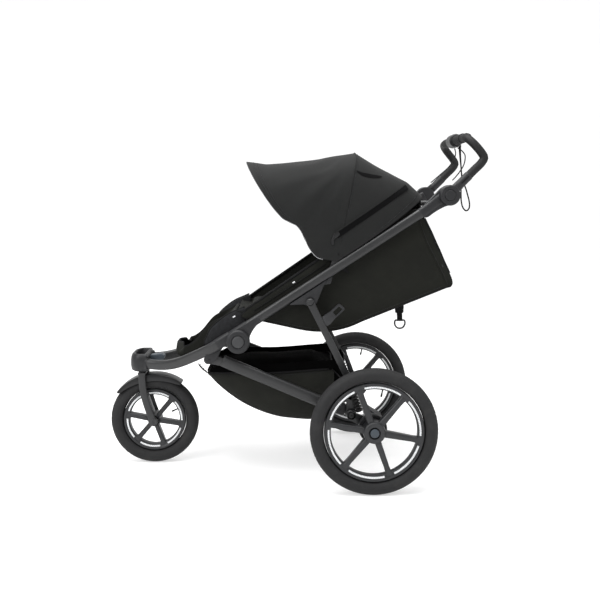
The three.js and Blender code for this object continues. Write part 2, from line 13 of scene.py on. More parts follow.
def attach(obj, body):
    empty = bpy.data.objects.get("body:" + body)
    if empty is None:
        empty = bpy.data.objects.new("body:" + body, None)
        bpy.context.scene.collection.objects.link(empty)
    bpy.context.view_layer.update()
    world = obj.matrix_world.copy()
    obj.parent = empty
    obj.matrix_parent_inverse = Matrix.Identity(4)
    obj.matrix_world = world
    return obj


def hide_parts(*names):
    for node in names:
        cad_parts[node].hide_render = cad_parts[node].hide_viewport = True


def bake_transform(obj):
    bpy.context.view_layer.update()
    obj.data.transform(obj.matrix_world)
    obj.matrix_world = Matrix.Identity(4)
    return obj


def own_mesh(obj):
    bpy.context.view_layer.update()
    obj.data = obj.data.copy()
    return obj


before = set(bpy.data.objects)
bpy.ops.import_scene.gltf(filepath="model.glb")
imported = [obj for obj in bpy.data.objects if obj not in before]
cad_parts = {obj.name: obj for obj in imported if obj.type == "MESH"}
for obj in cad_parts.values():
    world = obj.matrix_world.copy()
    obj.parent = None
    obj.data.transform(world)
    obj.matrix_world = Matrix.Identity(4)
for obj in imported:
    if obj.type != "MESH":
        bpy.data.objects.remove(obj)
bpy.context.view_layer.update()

MIDDLE_X = 256
BEVEL_ANGLE = math.radians(32)


def at(x, y, z):
    """A point in stroller millimetres, in metres of the row frame."""
    return Vector(((x - MIDDLE_X) / 1000, y / 1000, z / 1000))


# ---- camera -------------------------------------------------------------------------------------
PITCH, YAW = 0.0695, -0.0202
view_data = bpy.data.cameras.new("photo_view")
view_data.lens, view_data.sensor_width, view_data.shift_y = 45.65, 36, -0.08
camera = bpy.data.objects.new("photo_view", view_data)
level = Vector((math.sin(YAW), -math.cos(YAW), 0))
forward = level * math.cos(PITCH) - Vector((0, 0, 1)) * math.sin(PITCH)
right = Vector((-math.cos(YAW), -math.sin(YAW), 0))
turn = Matrix((right, right.cross(forward), -forward)).transposed()
camera.matrix_world = Matrix.Translation((0.0207, 2.6325, 0.9202)) @ turn.to_4x4()
bpy.context.collection.objects.link(camera)
bpy.context.scene.camera = camera


# ---- materials ----------------------------------------------------------------------------------
def node(tree, kind, settings=None, **inputs):
    """Adds a shader node; an input is a value or another node's output socket."""
    made = tree.nodes.new(kind)
    for key, value in (settings or {}).items():
        setattr(made, key, value)
    for key, value in inputs.items():
        socket = made.inputs[key.replace("_", " ")]
        if isinstance(value, bpy.types.NodeSocket):
            tree.links.new(value, socket)
        else:
            socket.default_value = value
    return made


def ramp(tree, factor, stops):
    """A colour ramp with (position, colour) stops."""
    made = node(tree, "ShaderNodeValToRGB", Fac=factor)
    elements = made.color_ramp.elements
    for element, (position, colour) in zip([elements[0], elements[1]], [stops[0], stops[-1]]):
        element.position, element.color = position, (*colour, 1)
    for position, colour in stops[1:-1]:
        elements.new(position).color = (*colour, 1)
    return made.outputs["Color"]


ROUGHNESS_SPREAD = 0.07
DUST = (0.16, 0.15, 0.135)


def material(name, colour, roughness, metallic=0.0, mottle=(0.04, 0.2), grain=(0.0006, 0.1), weave=None,
             ribs=None, wear=0.0, sheen=0.0, coat=0.0, specular=0.5, scuffs=0.0):
    """A procedural finish. mottle and grain are (size in metres, amount); weave is the thread pitch in metres;
    ribs are (direction, pitch in metres); wear lightens edges and scuffs leave faint dust."""
    made = bpy.data.materials.new(name)
    made.use_nodes = True
    tree = made.node_tree
    shader = tree.nodes["Principled BSDF"]
    place = node(tree, "ShaderNodeTexCoord").outputs["Object"]

    def noise_at(size, detail=3.0, distortion=0.0):
        return node(tree, "ShaderNodeTexNoise", Vector=place, Scale=1 / size, Detail=detail,
                    Distortion=distortion).outputs["Fac"]

    def tint(factor):
        return tuple(min(1.0, channel * factor) for channel in colour)

    cloudy = noise_at(mottle[0], 4.0, 0.4)
    tone = ramp(tree, cloudy, [(0.3, tint(1 - mottle[1])), (0.5, colour), (0.72, tint(1 + mottle[1] * 1.3))])
    fine = noise_at(grain[0], 2.0)
    speckle = ramp(tree, fine, [(0.35, (0.86,) * 3), (0.65, (1.14,) * 3)])
    tone = mix(tree, "MULTIPLY", 1.0, tone, speckle)
    height = fine
    if weave:
        place_back = node(tree, "ShaderNodeMapping", Vector=place, Scale=(1, -1, -1)).outputs["Vector"]
        threads = [node(tree, "ShaderNodeTexWave", {"bands_direction": "DIAGONAL"}, Vector=where,
                        Scale=0.18 / weave, Distortion=0.35, Detail=1.0).outputs["Fac"]
                   for where in (place, place_back)]
        woven = node(tree, "ShaderNodeMath", {"operation": "MAXIMUM"}, Value=threads[0])
        tree.links.new(threads[1], woven.inputs[1])
        height = woven.outputs["Value"]
        tone = mix(tree, "MULTIPLY", 1.0, tone, ramp(tree, height, [(0.25, (0.62,) * 3), (0.95, (1.16,) * 3)]))
    if ribs:
        height = node(tree, "ShaderNodeTexWave", {"bands_direction": ribs[0]}, Vector=place,
                      Scale=0.314 / ribs[1], Distortion=0.1).outputs["Fac"]
        tone = mix(tree, "MULTIPLY", 1.0, tone, ramp(tree, height, [(0.1, (0.6,) * 3), (0.8, (1.15,) * 3)]))
    if wear:
        edge = node(tree, "ShaderNodeNewGeometry").outputs["Pointiness"]
        worn = ramp(tree, edge, [(0.51, (0, 0, 0)), (0.60, (wear, wear, wear))])
        broken = ramp(tree, noise_at(0.009, 5.0), [(0.42, (0, 0, 0)), (0.62, (1, 1, 1))])
        tone = mix(tree, "MIX", mix(tree, "MULTIPLY", 1.0, worn, broken), tone, tuple(
            min(1.0, channel * 2.6 + 0.02) for channel in colour))
    if scuffs:
        dust = ramp(tree, noise_at(0.09, 6.0, 1.2), [(0.55, (0, 0, 0)), (0.8, (scuffs,) * 3)])
        tone = mix(tree, "MIX", dust, tone, DUST)
    bump = node(tree, "ShaderNodeBump", Height=height, Strength=grain[1],
                Distance=(weave or (ribs[1] if ribs else grain[0])) * 0.6)
    rough = node(tree, "ShaderNodeMapRange", Value=cloudy, To_Min=roughness - ROUGHNESS_SPREAD,
                 To_Max=roughness + ROUGHNESS_SPREAD).outputs["Result"]
    tree.links.new(tone, shader.inputs["Base Color"])
    tree.links.new(rough, shader.inputs["Roughness"])
    tree.links.new(bump.outputs["Normal"], shader.inputs["Normal"])
    shader.inputs["Metallic"].default_value = metallic
    shader.inputs["Specular IOR Level"].default_value = specular
    shader.inputs["Sheen Weight"].default_value = sheen
    shader.inputs["Sheen Roughness"].default_value = 0.45
    shader.inputs["Coat Weight"].default_value = coat
    shader.inputs["Coat Roughness"].default_value = 0.12
    return made


def mix(tree, kind, factor, first, second):
    made = tree.nodes.new("ShaderNodeMix")
    made.data_type, made.blend_type = "RGBA", kind
    for socket, value in ((made.inputs[0], factor), (made.inputs[6], first), (made.inputs[7], second)):
        if isinstance(value, bpy.types.NodeSocket):
            tree.links.new(value, socket)
        elif isinstance(value, tuple):
            socket.default_value = (*value, 1)
        else:
            socket.default_value = value
    return made.outputs[2]


PAINT = material("satin_paint", (0.0125, 0.0128, 0.0134), 0.38, metallic=0.1, grain=(0.0005, 0.10), wear=0.25,
                 mottle=(0.05, 0.12), coat=0.08, specular=0.42)
PLASTIC = material("moulded_plastic", (0.0075, 0.0077, 0.0088), 0.46, grain=(0.0007, 0.22), wear=0.25,
                   mottle=(0.03, 0.15), specular=0.32)
CAP = material("hub_cap_plastic", (0.024, 0.0245, 0.026), 0.45, grain=(0.0006, 0.15), wear=0.2, specular=0.35)
GLOSSY = material("polished_plastic", (0.005, 0.005, 0.0055), 0.36, grain=(0.0008, 0.08), coat=0.05, specular=0.3)
ACCENT = material("slate_plastic", (0.030, 0.038, 0.047), 0.42, grain=(0.0006, 0.15), wear=0.2, specular=0.35)
RIM = material("rim_plastic", (0.010, 0.0104, 0.0118), 0.42, grain=(0.0007, 0.18), wear=0.25, specular=0.4)
# Near-black plastic that paints shade into the slot, the recess and the joins between parts.
RECESS_SHADE = material("painted_recess_shade", (0.003, 0.003, 0.0032), 0.6, grain=(0.0007, 0.2), specular=0.15)
TYRE = material("tyre_rubber", (0.0125, 0.0125, 0.013), 0.74, grain=(0.0009, 0.3), scuffs=0.06,
                mottle=(0.02, 0.15), specular=0.25)
RUBBER = material("bellows_rubber", (0.006, 0.006, 0.006), 0.62, grain=(0.0008, 0.3), specular=0.25)
GRIP = material("soft_grip", (0.006, 0.006, 0.0063), 0.62, grain=(0.0011, 0.45), mottle=(0.015, 0.2), specular=0.25)
BLACK_METAL = material("dark_metal", (0.06, 0.06, 0.063), 0.35, metallic=0.8, grain=(0.0004, 0.1))
REFLECTIVE = material("reflective_film", (0.56, 0.57, 0.58), 0.3, weave=0.0022, grain=(0.0022, 0.3),
                      mottle=(0.05, 0.06))
PIPING = material("reflective_piping", (0.30, 0.305, 0.31), 0.45, ribs=("DIAGONAL", 0.0012), grain=(0.0012, 0.3))
CANOPY = material("canopy_cloth", (0.0064, 0.0067, 0.0066), 0.78, weave=0.0008, grain=(0.0008, 0.35),
                  sheen=0.02, mottle=(0.09, 0.14), scuffs=0.012, specular=0.2)
SEAT = material("seat_cloth", (0.0068, 0.0071, 0.0055), 0.84, weave=0.0009, grain=(0.0009, 0.4), sheen=0.015,
                mottle=(0.08, 0.16), scuffs=0.012, specular=0.15)
BASKET = material("basket_cloth", (0.0098, 0.0102, 0.0082), 0.80, weave=0.0010, grain=(0.0010, 0.4), sheen=0.02,
                  mottle=(0.07, 0.18), scuffs=0.02, specular=0.16)
LINING = material("lining_mesh", (0.0012, 0.0012, 0.0012), 0.95, weave=0.0016, grain=(0.0016, 0.6), specular=0.03)
MELANGE = material("melange_cloth", (0.0135, 0.0138, 0.0150), 0.86, weave=0.0011, grain=(0.0011, 0.5), sheen=0.03,
                   mottle=(0.012, 0.3), specular=0.15)
WEBBING = material("webbing", (0.0035, 0.0035, 0.0038), 0.75, ribs=("DIAGONAL", 0.0016), grain=(0.0016, 0.5),
                   specular=0.15)
ZIP = material("zip_tape", (0.0015, 0.0015, 0.0017), 0.7, ribs=("X", 0.0025), grain=(0.0025, 0.5), specular=0.06)
THREAD = material("stitching_thread", (0.024, 0.024, 0.026), 0.7, ribs=("DIAGONAL", 0.003), grain=(0.003, 0.5),
                  specular=0.15)


# ---- geometry -----------------------------------------------------------------------------------
def curve_points(points, steps, closed=False):
    """Evenly spaced points on the centripetal Catmull-Rom curve through the given ones."""
    points = [Vector(point) for point in points]
    if len(points) == 2:
        return [points[0].lerp(points[1], i / steps) for i in range(steps + 1)]
    if closed:
        padded_points = [points[-1], *points, points[0], points[1]]
    else:
        padded_points = [points[0] * 2 - points[1], *points, points[-1] * 2 - points[-2]]
    fine = []
    for a, b, c, d in zip(padded_points, padded_points[1:], padded_points[2:], padded_points[3:]):
        t0, t1 = 0.0, math.sqrt((b - a).length)
        t2 = t1 + math.sqrt((c - b).length)
        t3 = t2 + math.sqrt((d - c).length)
        for i in range(16):
            t = t1 + (t2 - t1) * i / 16
            p, q, r = (a.lerp(b, (t - t0) / (t1 - t0)), b.lerp(c, (t - t1) / (t2 - t1)),
                       c.lerp(d, (t - t2) / (t3 - t2)))
            p, q = p.lerp(q, (t - t0) / (t2 - t0)), q.lerp(r, (t - t1) / (t3 - t1))
            fine.append(p.lerp(q, (t - t1) / (t2 - t1)))
    fine.append(points[0] if closed else points[-1])
    reached = [0.0]
    for a, b in zip(fine, fine[1:]):
        reached.append(reached[-1] + (b - a).length)
    spaced, k = [], 0
    for i in range(steps + 1):
        goal = reached[-1] * i / steps
        while k < len(fine) - 2 and reached[k + 1] < goal:
            k += 1
        spaced.append(fine[k].lerp(fine[k + 1], (goal - reached[k]) / max(reached[k + 1] - reached[k], 1e-9)))
    return spaced[:-1] if closed else spaced


def rounded(outline, radius, steps=4):
    """A side-view outline of (x, z) corners with each corner rounded off."""
    made, count = [], len(outline)
    for i in range(count):
        corner = Vector(outline[i])
        before, after = Vector(outline[i - 1]) - corner, Vector(outline[(i + 1) % count]) - corner
        reach = min(radius, before.length * 0.45, after.length * 0.45)
        a, b = corner + before.normalized() * reach, corner + after.normalized() * reach
        for k in range(steps + 1):
            t = k / steps
            made.append(a.lerp(corner, t).lerp(corner.lerp(b, t), t))
    return [tuple(point) for point in made]


def smooth(low, high, value):
    t = min(1.0, max(0.0, (value - low) / (high - low)))
    return t * t * (3 - 2 * t)


def ripple(x, y, z, size, seed=0.0):
    """Smooth noise from -1 to 1 that varies over about size millimetres."""
    return noise.noise(Vector((x / size + seed, y / size - seed, z / size + 0.3 * seed)))


class Shape:
    """Collects shells in stroller millimetres."""

    def __init__(self):
        self.points, self.faces = [], []

    def grid(self, rings, around=True, along=False, caps=True):
        """Skins a list of equally long rows; around closes each row, along joins the last row to the first."""
        first, wide, deep = len(self.points), len(rings[0]), len(rings)
        for ring in rings:
            self.points.extend(Vector(point) for point in ring)
        for i in range(deep if along else deep - 1):
            for j in range(wide if around else wide - 1):
                a, b = first + i * wide + j, first + i * wide + (j + 1) % wide
                step = ((i + 1) % deep - i) * wide
                self.faces.append((a, b, b + step, a + step))
        if caps and around and not along:
            self.faces.append(tuple(range(first, first + wide)))
            self.faces.append(tuple(range(first + (deep - 1) * wide, first + deep * wide))[::-1])
        return self

    def bar(self, points, a, b, steps=24, sides=20, power=2.0, across=(0, 1, 0), closed=False, size=None):
        """A bar of oval or rounded-square section; a is its half size across and b in its own plane."""
        path = curve_points(points, steps, closed)
        section = []
        for i in range(sides):
            c, s = math.cos(2 * math.pi * (i + 0.5) / sides), math.sin(2 * math.pi * (i + 0.5) / sides)
            out = (abs(c) ** power + abs(s) ** power) ** (-1 / power)
            section.append((a * c * out, b * s * out))
        rings, normal = [], Vector(across)
        for i, centre in enumerate(path):
            before = path[i - 1] if i or closed else path[0]
            after = path[(i + 1) % len(path)] if i < len(path) - 1 or closed else path[-1]
            ahead = (after - before).normalized()
            normal = (normal - ahead * normal.dot(ahead)).normalized()
            other = ahead.cross(normal)
            scale = size(i / steps) if size else 1
            rings.append([centre + (normal * u + other * v) * scale for u, v in section])
        return self.grid(rings, along=closed)

    def plate(self, outline, y0, y1, corner=0.0, steps=4):
        """A side-view outline made solid from y0 to y1."""
        if corner:
            outline = rounded(outline, corner, steps)
        return self.grid([[(x, y, z) for x, z in outline] for y in (y0, y1)])

    def lathe(self, profile, x, z, sides=48, closed=False, start=0.0, stop=2 * math.pi, ripples=None):
        """Turns a profile of (radius, y) about a cross-wise axis, all round or from start to stop."""
        whole = stop - start > 6.28
        rings = []
        for i in range(sides if whole else sides + 1):
            angle = start + (stop - start) * i / sides
            ring = []
            for k, (radius, y) in enumerate(profile):
                if ripples:
                    radius += ripples(angle, k)
                ring.append((x + radius * math.cos(angle), y, z + radius * math.sin(angle)))
            rings.append(ring)
        return self.grid(rings, around=closed, along=whole, caps=not whole)

    def disc(self, x, z, radius, y0, y1, sides=40, edge=1.0):
        """A closed round plate with softened rims."""
        lean = edge if y1 > y0 else -edge
        return self.lathe([(0.01, y0), (radius - edge, y0), (radius, y0 + lean), (radius, y1 - lean),
                           (radius - edge, y1), (0.01, y1)], x, z, sides)

    def stitches(self, points, pitch, radius):
        """A row of separate thread stitches along a path."""
        total = sum((Vector(b) - Vector(a)).length for a, b in zip(points, points[1:]))
        spots = curve_points(points, max(2, int(total / pitch)))
        for a, b in zip(spots, spots[1:]):
            self.bar([a.lerp(b, 0.15), a.lerp(b, 0.85)], radius, radius, 1, 5)
        return self


def own_name(name):
    """A name for a piece, which may not be a CAD node's."""
    return name + "_look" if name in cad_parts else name


def build(name, shape, sign, finish, bevel, segments, sharp, subdivide, solid):
    mesh = bpy.data.meshes.new(own_name(name))
    mesh.from_pydata([at(p.x, p.y * sign, p.z) for p in shape.points], [], shape.faces)
    piece = bpy.data.objects.new(own_name(name), mesh)
    bpy.context.collection.objects.link(piece)
    bm = bmesh.new()
    bm.from_mesh(mesh)
    bmesh.ops.remove_doubles(bm, verts=bm.verts, dist=2e-5)
    bmesh.ops.dissolve_degenerate(bm, dist=1e-5, edges=bm.edges)
    bmesh.ops.recalc_face_normals(bm, faces=bm.faces)
    bm.to_mesh(mesh)
    bm.free()
    if solid:
        thick = piece.modifiers.new("cloth", "SOLIDIFY")
        thick.thickness, thick.offset = solid / 1000, 0
    if bevel:
        soft = piece.modifiers.new("edge", "BEVEL")
        soft.width, soft.segments, soft.limit_method, soft.angle_limit = bevel / 1000, segments, "ANGLE", BEVEL_ANGLE
    if subdivide:
        piece.modifiers.new("smooth", "SUBSURF").levels = subdivide
    bake_modifiers(piece)
    shade(piece, sharp)
    piece.data.materials.append(finish)
    return piece


def bake_modifiers(piece):
    """Applies the piece's modifiers to its mesh."""
    if not piece.modifiers:
        return
    bpy.context.view_layer.update()
    final = bpy.data.meshes.new_from_object(piece.evaluated_get(bpy.context.evaluated_depsgraph_get()))
    piece.modifiers.clear()
    piece.data = final


def shade(piece, sharp):
    bm = bmesh.new()
    bm.from_mesh(piece.data)
    for face in bm.faces:
        face.smooth = True
    for edge in bm.edges:
        edge.smooth = edge.calc_face_angle(0.0) < math.radians(sharp)
    bm.to_mesh(piece.data)
    bm.free()


def make(name, shape, finish, body, slot, nodes=(), bevel=0.0, segments=2, sharp=38, subdivide=0, solid=0.0):
    """Builds one piece; # in its name, body or nodes makes a left one and its mirror image on the right."""
    made = []
    for side, sign in (("l", 1), ("r", -1)) if "#" in name else (("", 1),):
        piece = build(name.replace("#", side), shape, sign, finish, bevel, segments, sharp, subdivide, solid)
        if body:
            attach(piece, body.replace("#", side))
        if nodes:
            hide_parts(*(each.replace("#", side) for each in nodes))
        made.append(piece)
    return made if len(made) > 1 else made[0]


VOXEL, CLOTH_FRAMES, CLOTH_PRESSURE = 0.005, 20, 4


def inflate(piece, limit):
    """Swells a closed pad with a short cloth simulation; no point moves further than limit metres."""
    piece.modifiers.new("voxels", "REMESH").mode = "VOXEL"
    piece.modifiers["voxels"].voxel_size = VOXEL
    bake_modifiers(piece)
    rest = [vertex.co.copy() for vertex in piece.data.vertices]
    cloth = piece.modifiers.new("cloth", "CLOTH")
    cloth.settings.quality = 4
    cloth.settings.use_pressure = True
    cloth.settings.uniform_pressure_force = CLOTH_PRESSURE
    cloth.settings.effector_weights.gravity = 0
    cloth.point_cache.frame_start, cloth.point_cache.frame_end = 1, CLOTH_FRAMES
    for step in range(1, CLOTH_FRAMES + 1):
        bpy.context.scene.frame_set(step)
    swollen = piece.evaluated_get(bpy.context.evaluated_depsgraph_get()).data
    moved = [vertex.co.copy() for vertex in swollen.vertices]
    piece.modifiers.clear()
    for vertex, start, end in zip(piece.data.vertices, rest, moved):
        shift = end - start
        vertex.co = start + (shift.normalized() * min(shift.length, limit) if shift.length else shift)
    bpy.context.scene.frame_set(1)
    even = piece.modifiers.new("even", "SMOOTH")
    even.factor, even.iterations = 0.5, 6
    bake_modifiers(piece)


def quilt(piece, depth_at):
    """Presses seams into a pad: depth_at gives the depth in millimetres at a point in stroller millimetres."""
    mesh = piece.data
    normals = [vertex.normal.copy() for vertex in mesh.vertices]
    for vertex, normal in zip(mesh.vertices, normals):
        x, y, z = vertex.co.x * 1000 + MIDDLE_X, vertex.co.y * 1000, vertex.co.z * 1000
        vertex.co -= normal * depth_at(x, y, z) / 1000


def along(points):
    """Side-view distances along a path, as a function giving (distance, offset above) of an (x, z) point."""
    path = [Vector((x, z)) for x, z in points]
    marks = [0.0]
    for a, b in zip(path, path[1:]):
        marks.append(marks[-1] + (b - a).length)

    def locate(x, z):
        spot, best = Vector((x, z)), None
        for a, b, mark in zip(path, path[1:], marks):
            way = b - a
            t = min(1.0, max(0.0, (spot - a).dot(way) / way.length_squared))
            gap = spot - a.lerp(b, t)
            if best is None or gap.length < best[0]:
                best = (gap.length, mark + t * way.length, way.x * gap.y - way.y * gap.x)
        return best[1], math.copysign(best[0], best[2])

    return locate, marks[-1]


# ---- cords --------------------------------------------------------------------------------------
CABLE = [(-316, 24, 1094.5), (-325, 50, 1082), (-328, 78, 1066), (-316, 118, 1036), (-292, 158, 1008),
         (-272, 178, 988), (-264, 183, 981)]
STRAP = [(-324, 8, 1098), (-327, 10, 1064), (-331, 10, 1030), (-334, 8, 996), (-333, 7, 966), (-333, 7, 937),
         (-335, 7, 908), (-342, 6, 888), (-353, 4, 880), (-363, 2, 889), (-364, 0, 908), (-358, -1, 934),
         (-350, -3, 961), (-341, -4, 984), (-336, -4, 1012), (-333, -3, 1045), (-331, -2, 1072), (-330, 0, 1097)]


def cord(name, route, radius, steps, finish):
    """A free cord on the handlebar, along a route in stroller millimetres."""
    points = [at(*point) for point in curve_points(route, steps)]
    data = bpy.data.curves.new(own_name(name), "CURVE")
    data.dimensions, data.bevel_depth, data.bevel_resolution = "3D", radius / 1000, 5
    spline = data.splines.new("BEZIER")
    spline.bezier_points.add(len(points) - 1)
    for knot, point in zip(spline.bezier_points, points):
        knot.co = point
        knot.handle_left_type = knot.handle_right_type = "AUTO"
    spline.resolution_u, data.use_fill_caps = 6, True
    data.materials.append(finish)
    piece = bpy.data.objects.new(own_name(name), data)
    bpy.context.collection.objects.link(piece)
    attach(piece, "handlebar")
    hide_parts(name)
    return piece


cord("brake_cable_l", CABLE, 2.0, 24, GRIP)
cord("brake_cable_r", [(x, -y, z) for x, y, z in CABLE], 2.0, 24, GRIP)
cord("wrist_strap", STRAP, 2.5, 38, WEBBING)

# ---- upper frame --------------------------------------------------------------------------------
TUBE_Y, SLOPE = 205, 0.65


def tube_z(x):
    """Height of the upper tubes' axis."""
    return 480 + SLOPE * (449 - x)


def on_tube(x, off):
    """A point beside the upper tube, off millimetres above its axis at right angles."""
    lean = math.atan(SLOPE)
    return (x + off * math.sin(lean), TUBE_Y, tube_z(x) + off * math.cos(lean))


def upper_frame():
    tube = Shape().bar([on_tube(449, 0), on_tube(-166, 0)], 12, 15, 60, 32, power=2.8)
    make("upper_tube_#", tube, PAINT, "upper_frame", "frame_paint", ["upper_tube_#"], sharp=60)
    foot = tube_z(105) + 12
    lug = Shape().plate([(132, foot - 17), (78, foot + 18), (90, 759), (118, 750)], 194, 206, 5)
    lug.disc(105, 745, 16, 193.6, 207, edge=2)
    lug.disc(105, 745, 7, 206, 208.4, 24)
    make("canopy_lug_#", lug, PLASTIC, "upper_frame", "hard_plastic", bevel=1.2)

    # Plastic sleeve at the tube's front end, with the flare that runs down into the fold hub.
    sleeve = Shape().bar([on_tube(448.6, 0), on_tube(432, 0), on_tube(404, 0), on_tube(394, 0)], 13.4, 16.6, 12, 32,
                         power=2.9)
    flare = [(452, 492), (462, 478), (464, 462), (456, 440), (436, 427), (414, 428), (396, 440), (389, 458),
             (390, 478), (380, 500), (364, 520), (352, 527), (360, 548), (400, 524)]
    sleeve.plate(flare, 206, 218.6, 16, 6)
    make("hub_sleeve_#", sleeve, PLASTIC, "upper_frame", "hard_plastic", bevel=2.2, segments=3)
    hub = Shape().lathe([(0.01, 193), (8, 193), (8, 218), (36, 218), (38, 219.5), (38, 228), (36.6, 231), (33.5, 233),
                         (25, 233.8), (22.5, 233.6), (21.4, 232.6), (20.4, 231), (0.01, 231)], 426, 465, 72)
    make("fold_hub_#", hub, PLASTIC, "upper_frame", "hard_plastic", ["fold_hub_#"], sharp=50)
    cap = Shape().lathe([(0.01, 229), (18.6, 229), (18.8, 233), (18.2, 234.4), (16.6, 234.9), (8, 235.1),
                         (0.01, 235.2)], 426, 465, 56)
    make("fold_hub_cap_#", cap, CAP, "upper_frame", "hard_plastic", sharp=60)

    # Leg bracket with its latch stud.
    top = [(x, tube_z(x) - 18.2) for x in (264, 146)]
    bracket = Shape().plate([*top, (176, 585), (195, 575), (214, 584)], 197, 218.4, 8)
    bracket.disc(195, 591, 14, 197, 218.4, edge=2)
    bracket.plate([(162, tube_z(162) - 18.2), (124, tube_z(124) - 18.2), (129, 650), (143, 647)], 205, 214, 4)
    bracket.disc(136, 654.5, 5, 205, 219.4, 20)
    make("leg_bracket_#", bracket, PLASTIC, "upper_frame", "hard_plastic", ["leg_bracket_#"], bevel=1.6)

    # Handle housings: each grows out of the tube and swells into the pivot disc.
    housing = Shape().bar([on_tube(-158, 0), on_tube(-172, 0), (-196, 203, 902), (-222, 201, 921), (-244, 200, 932)],
                          12.6, 16.5, 24, 28, power=2.8, size=lambda t: 1 + 0.35 * smooth(0.3, 1, t) * (1 - t * 0.4))
    housing.plate([(-150, 868), (-160, 892), (-198, 929), (-228, 961), (-262, 963), (-281, 934), (-264, 903),
                   (-236, 897), (-205, 880), (-176, 858)], 190.5, 211, 14, 6)
    housing.disc(-248, 932, 33, 190, 211.4, 64, edge=3)
    make("handle_housing_#", housing, PLASTIC, "upper_frame", "hard_plastic", ["handle_housing_#"], bevel=2.5,
         segments=3)
    cross = Shape().lathe([(0.01, -191), (10, -191), (10, -180), (12.5, -178), (12.5, -168), (10, -166), (10, 166),
                           (12.5, 168), (12.5, 178), (10, 180), (10, 191), (0.01, 191)], -204, 905, 40)
    make("rear_cross_tube", cross, PAINT, "upper_frame", "frame_paint", ["rear_cross_tube"], sharp=50)

    # Small fabric tab that holds the seat to the tube.
    tab = Shape().plate([(108, 716), (76, 698), (66, 678), (100, 694)], 192, 194, 5)
    make("tube_tab_#", tab, WEBBING, "upper_frame", "seat_fabric", bevel=0.6)


# ---- handlebar ----------------------------------------------------------------------------------
HALF_BAR = [(-272, 208, 957), (-300, 208, 985), (-328, 208, 1013), (-350, 207.5, 1035), (-358.6, 207, 1051),
            (-351, 206.5, 1066), (-334, 205, 1087), (-319, 197, 1104), (-310, 180, 1115), (-308, 156, 1119),
            (-308, 138, 1119), (-308, 60, 1119)]


def handlebar():
    path = HALF_BAR + [(x, -y, z) for x, y, z in reversed(HALF_BAR)]
    tube = Shape().bar(path, 13.5, 13.5, 132, 32)
    make("handlebar", tube, GRIP, "handlebar", "frame_paint", ["handlebar"], sharp=60)
    # Dark bands of painted shade in the joins on the bar beyond each grip.
    seam = Shape()
    for y in (-1, 1):
        joint = [(-312.5, 178 * y, 1116.4), (-309.2, 166 * y, 1119)]
        seam.bar(joint, 14.3, 14.3, 3, 32, across=(1, 0, 0))
    make("grip_bands", seam, RECESS_SHADE, "handlebar", "grip_rubber", bevel=0.5)
    grip = [(14.0, -132), (15.4, -131.5), (16, -130)]
    for i in range(27):
        y = -126 + i * 9.7
        if abs(y) > 40:
            grip += [(16, y - 3), (15.2, y - 1.2), (15.2, y + 1.2), (16, y + 3)]
    grip += [(16, 130), (15.4, 131.5), (14.0, 132)]
    make("handle_grip", Shape().lathe(grip, -308, 1119, 48), GRIP, "handlebar", "grip_rubber", ["handle_grip"],
         sharp=50)
    twist = [(16.6, -36), (19, -36), (21, -34)]
    twist += [(22.6 + 0.4 * (k % 2), -29 + k * 58 / 24) for k in range(25)]
    twist += [(21, 34), (19, 36), (16.6, 36)]
    control = Shape().lathe(twist, -308, 1119, 60,
                            ripples=lambda angle, k: 0.35 * math.cos(20 * angle) if 3 < k < 27 else 0)
    make("brake_control", control, GLOSSY, "brake_control", "hard_plastic", ["brake_control"], sharp=50)

    # Handle hubs: the outer disc, the arm up to the tube, and the slotted outer sleeve on it.
    disc = Shape().lathe([(0.01, 212), (32, 212), (33, 213), (33, 226.5), (31.8, 229.5), (29, 231.6), (20.5, 232),
                          (18.6, 231.6), (18, 230.4), (18, 223.6), (0.01, 223.6)], -248, 932, 72)
    disc.bar([(-258, 219, 945), (-268, 214, 954), (-280, 209, 965)], 10, 15.5, 8, 28, power=2.8)
    make("handle_hub_#", disc, PLASTIC, "handlebar", "hard_plastic", ["handle_hub_#"], bevel=1.5, sharp=45)
    collar = Shape().bar([(-276, 208, 961), (-290, 208, 975), (-311, 208, 996)], 14.4, 14.8, 10, 28, power=2.4)
    make("handle_collar_#", collar, PLASTIC, "handlebar", "hard_plastic", bevel=1.5)
    # The collar's slot is drawn as a flat plate of painted shade.
    slot = Shape().plate([(-283, 972), (-306, 995), (-309, 991), (-286, 968)], 221.2, 223.0, 2.5)
    make("collar_slot_#", slot, RECESS_SHADE, "handlebar", "hard_plastic", bevel=0.6)
    for side in "lr":
        y0, y1 = (227, 232.4)
        button = Shape().lathe([(0.01, y0), (16.6, y0), (17, y0 + 0.6), (17, y1 - 1.4), (16.2, y1 - 0.5),
                                (13, y1 - 0.2), (8, y1 - 0.7), (0.01, y1 - 0.9)], -248, 932, 56)
        if side == "r":
            for point in button.points:
                point.y = -point.y
        finish = PLASTIC if side == "l" else ACCENT
        make("handle_button_" + side, button, finish, "handle_button_" + side, "hard_plastic",
             ["handle_button_" + side], sharp=50)
    anchor = Shape().bar([(-328, 3, 1103), (-327, 5, 1096)], 9, 4, 4, 20, across=(0, 1, 0))
    make("strap_anchor", anchor, GRIP, "handlebar", "grip_rubber", bevel=1)


# ---- front frame --------------------------------------------------------------------------------
FRONT_PATH = [(450.2, 205, 479), (478, 205, 463), (516, 194, 438), (554, 170, 416), (590, 144, 396),
              (626, 120, 378), (664, 97, 365), (704, 76, 359), (744.4, 58.2, 359)]
STEERING_X = 770
SCOOP = [(440, 548), (474, 510), (514, 462), (552, 418), (588, 394), (620, 388), (640, 400), (644, 429)]


TURN_STEPS, FLAT_STEPS = 7, 14


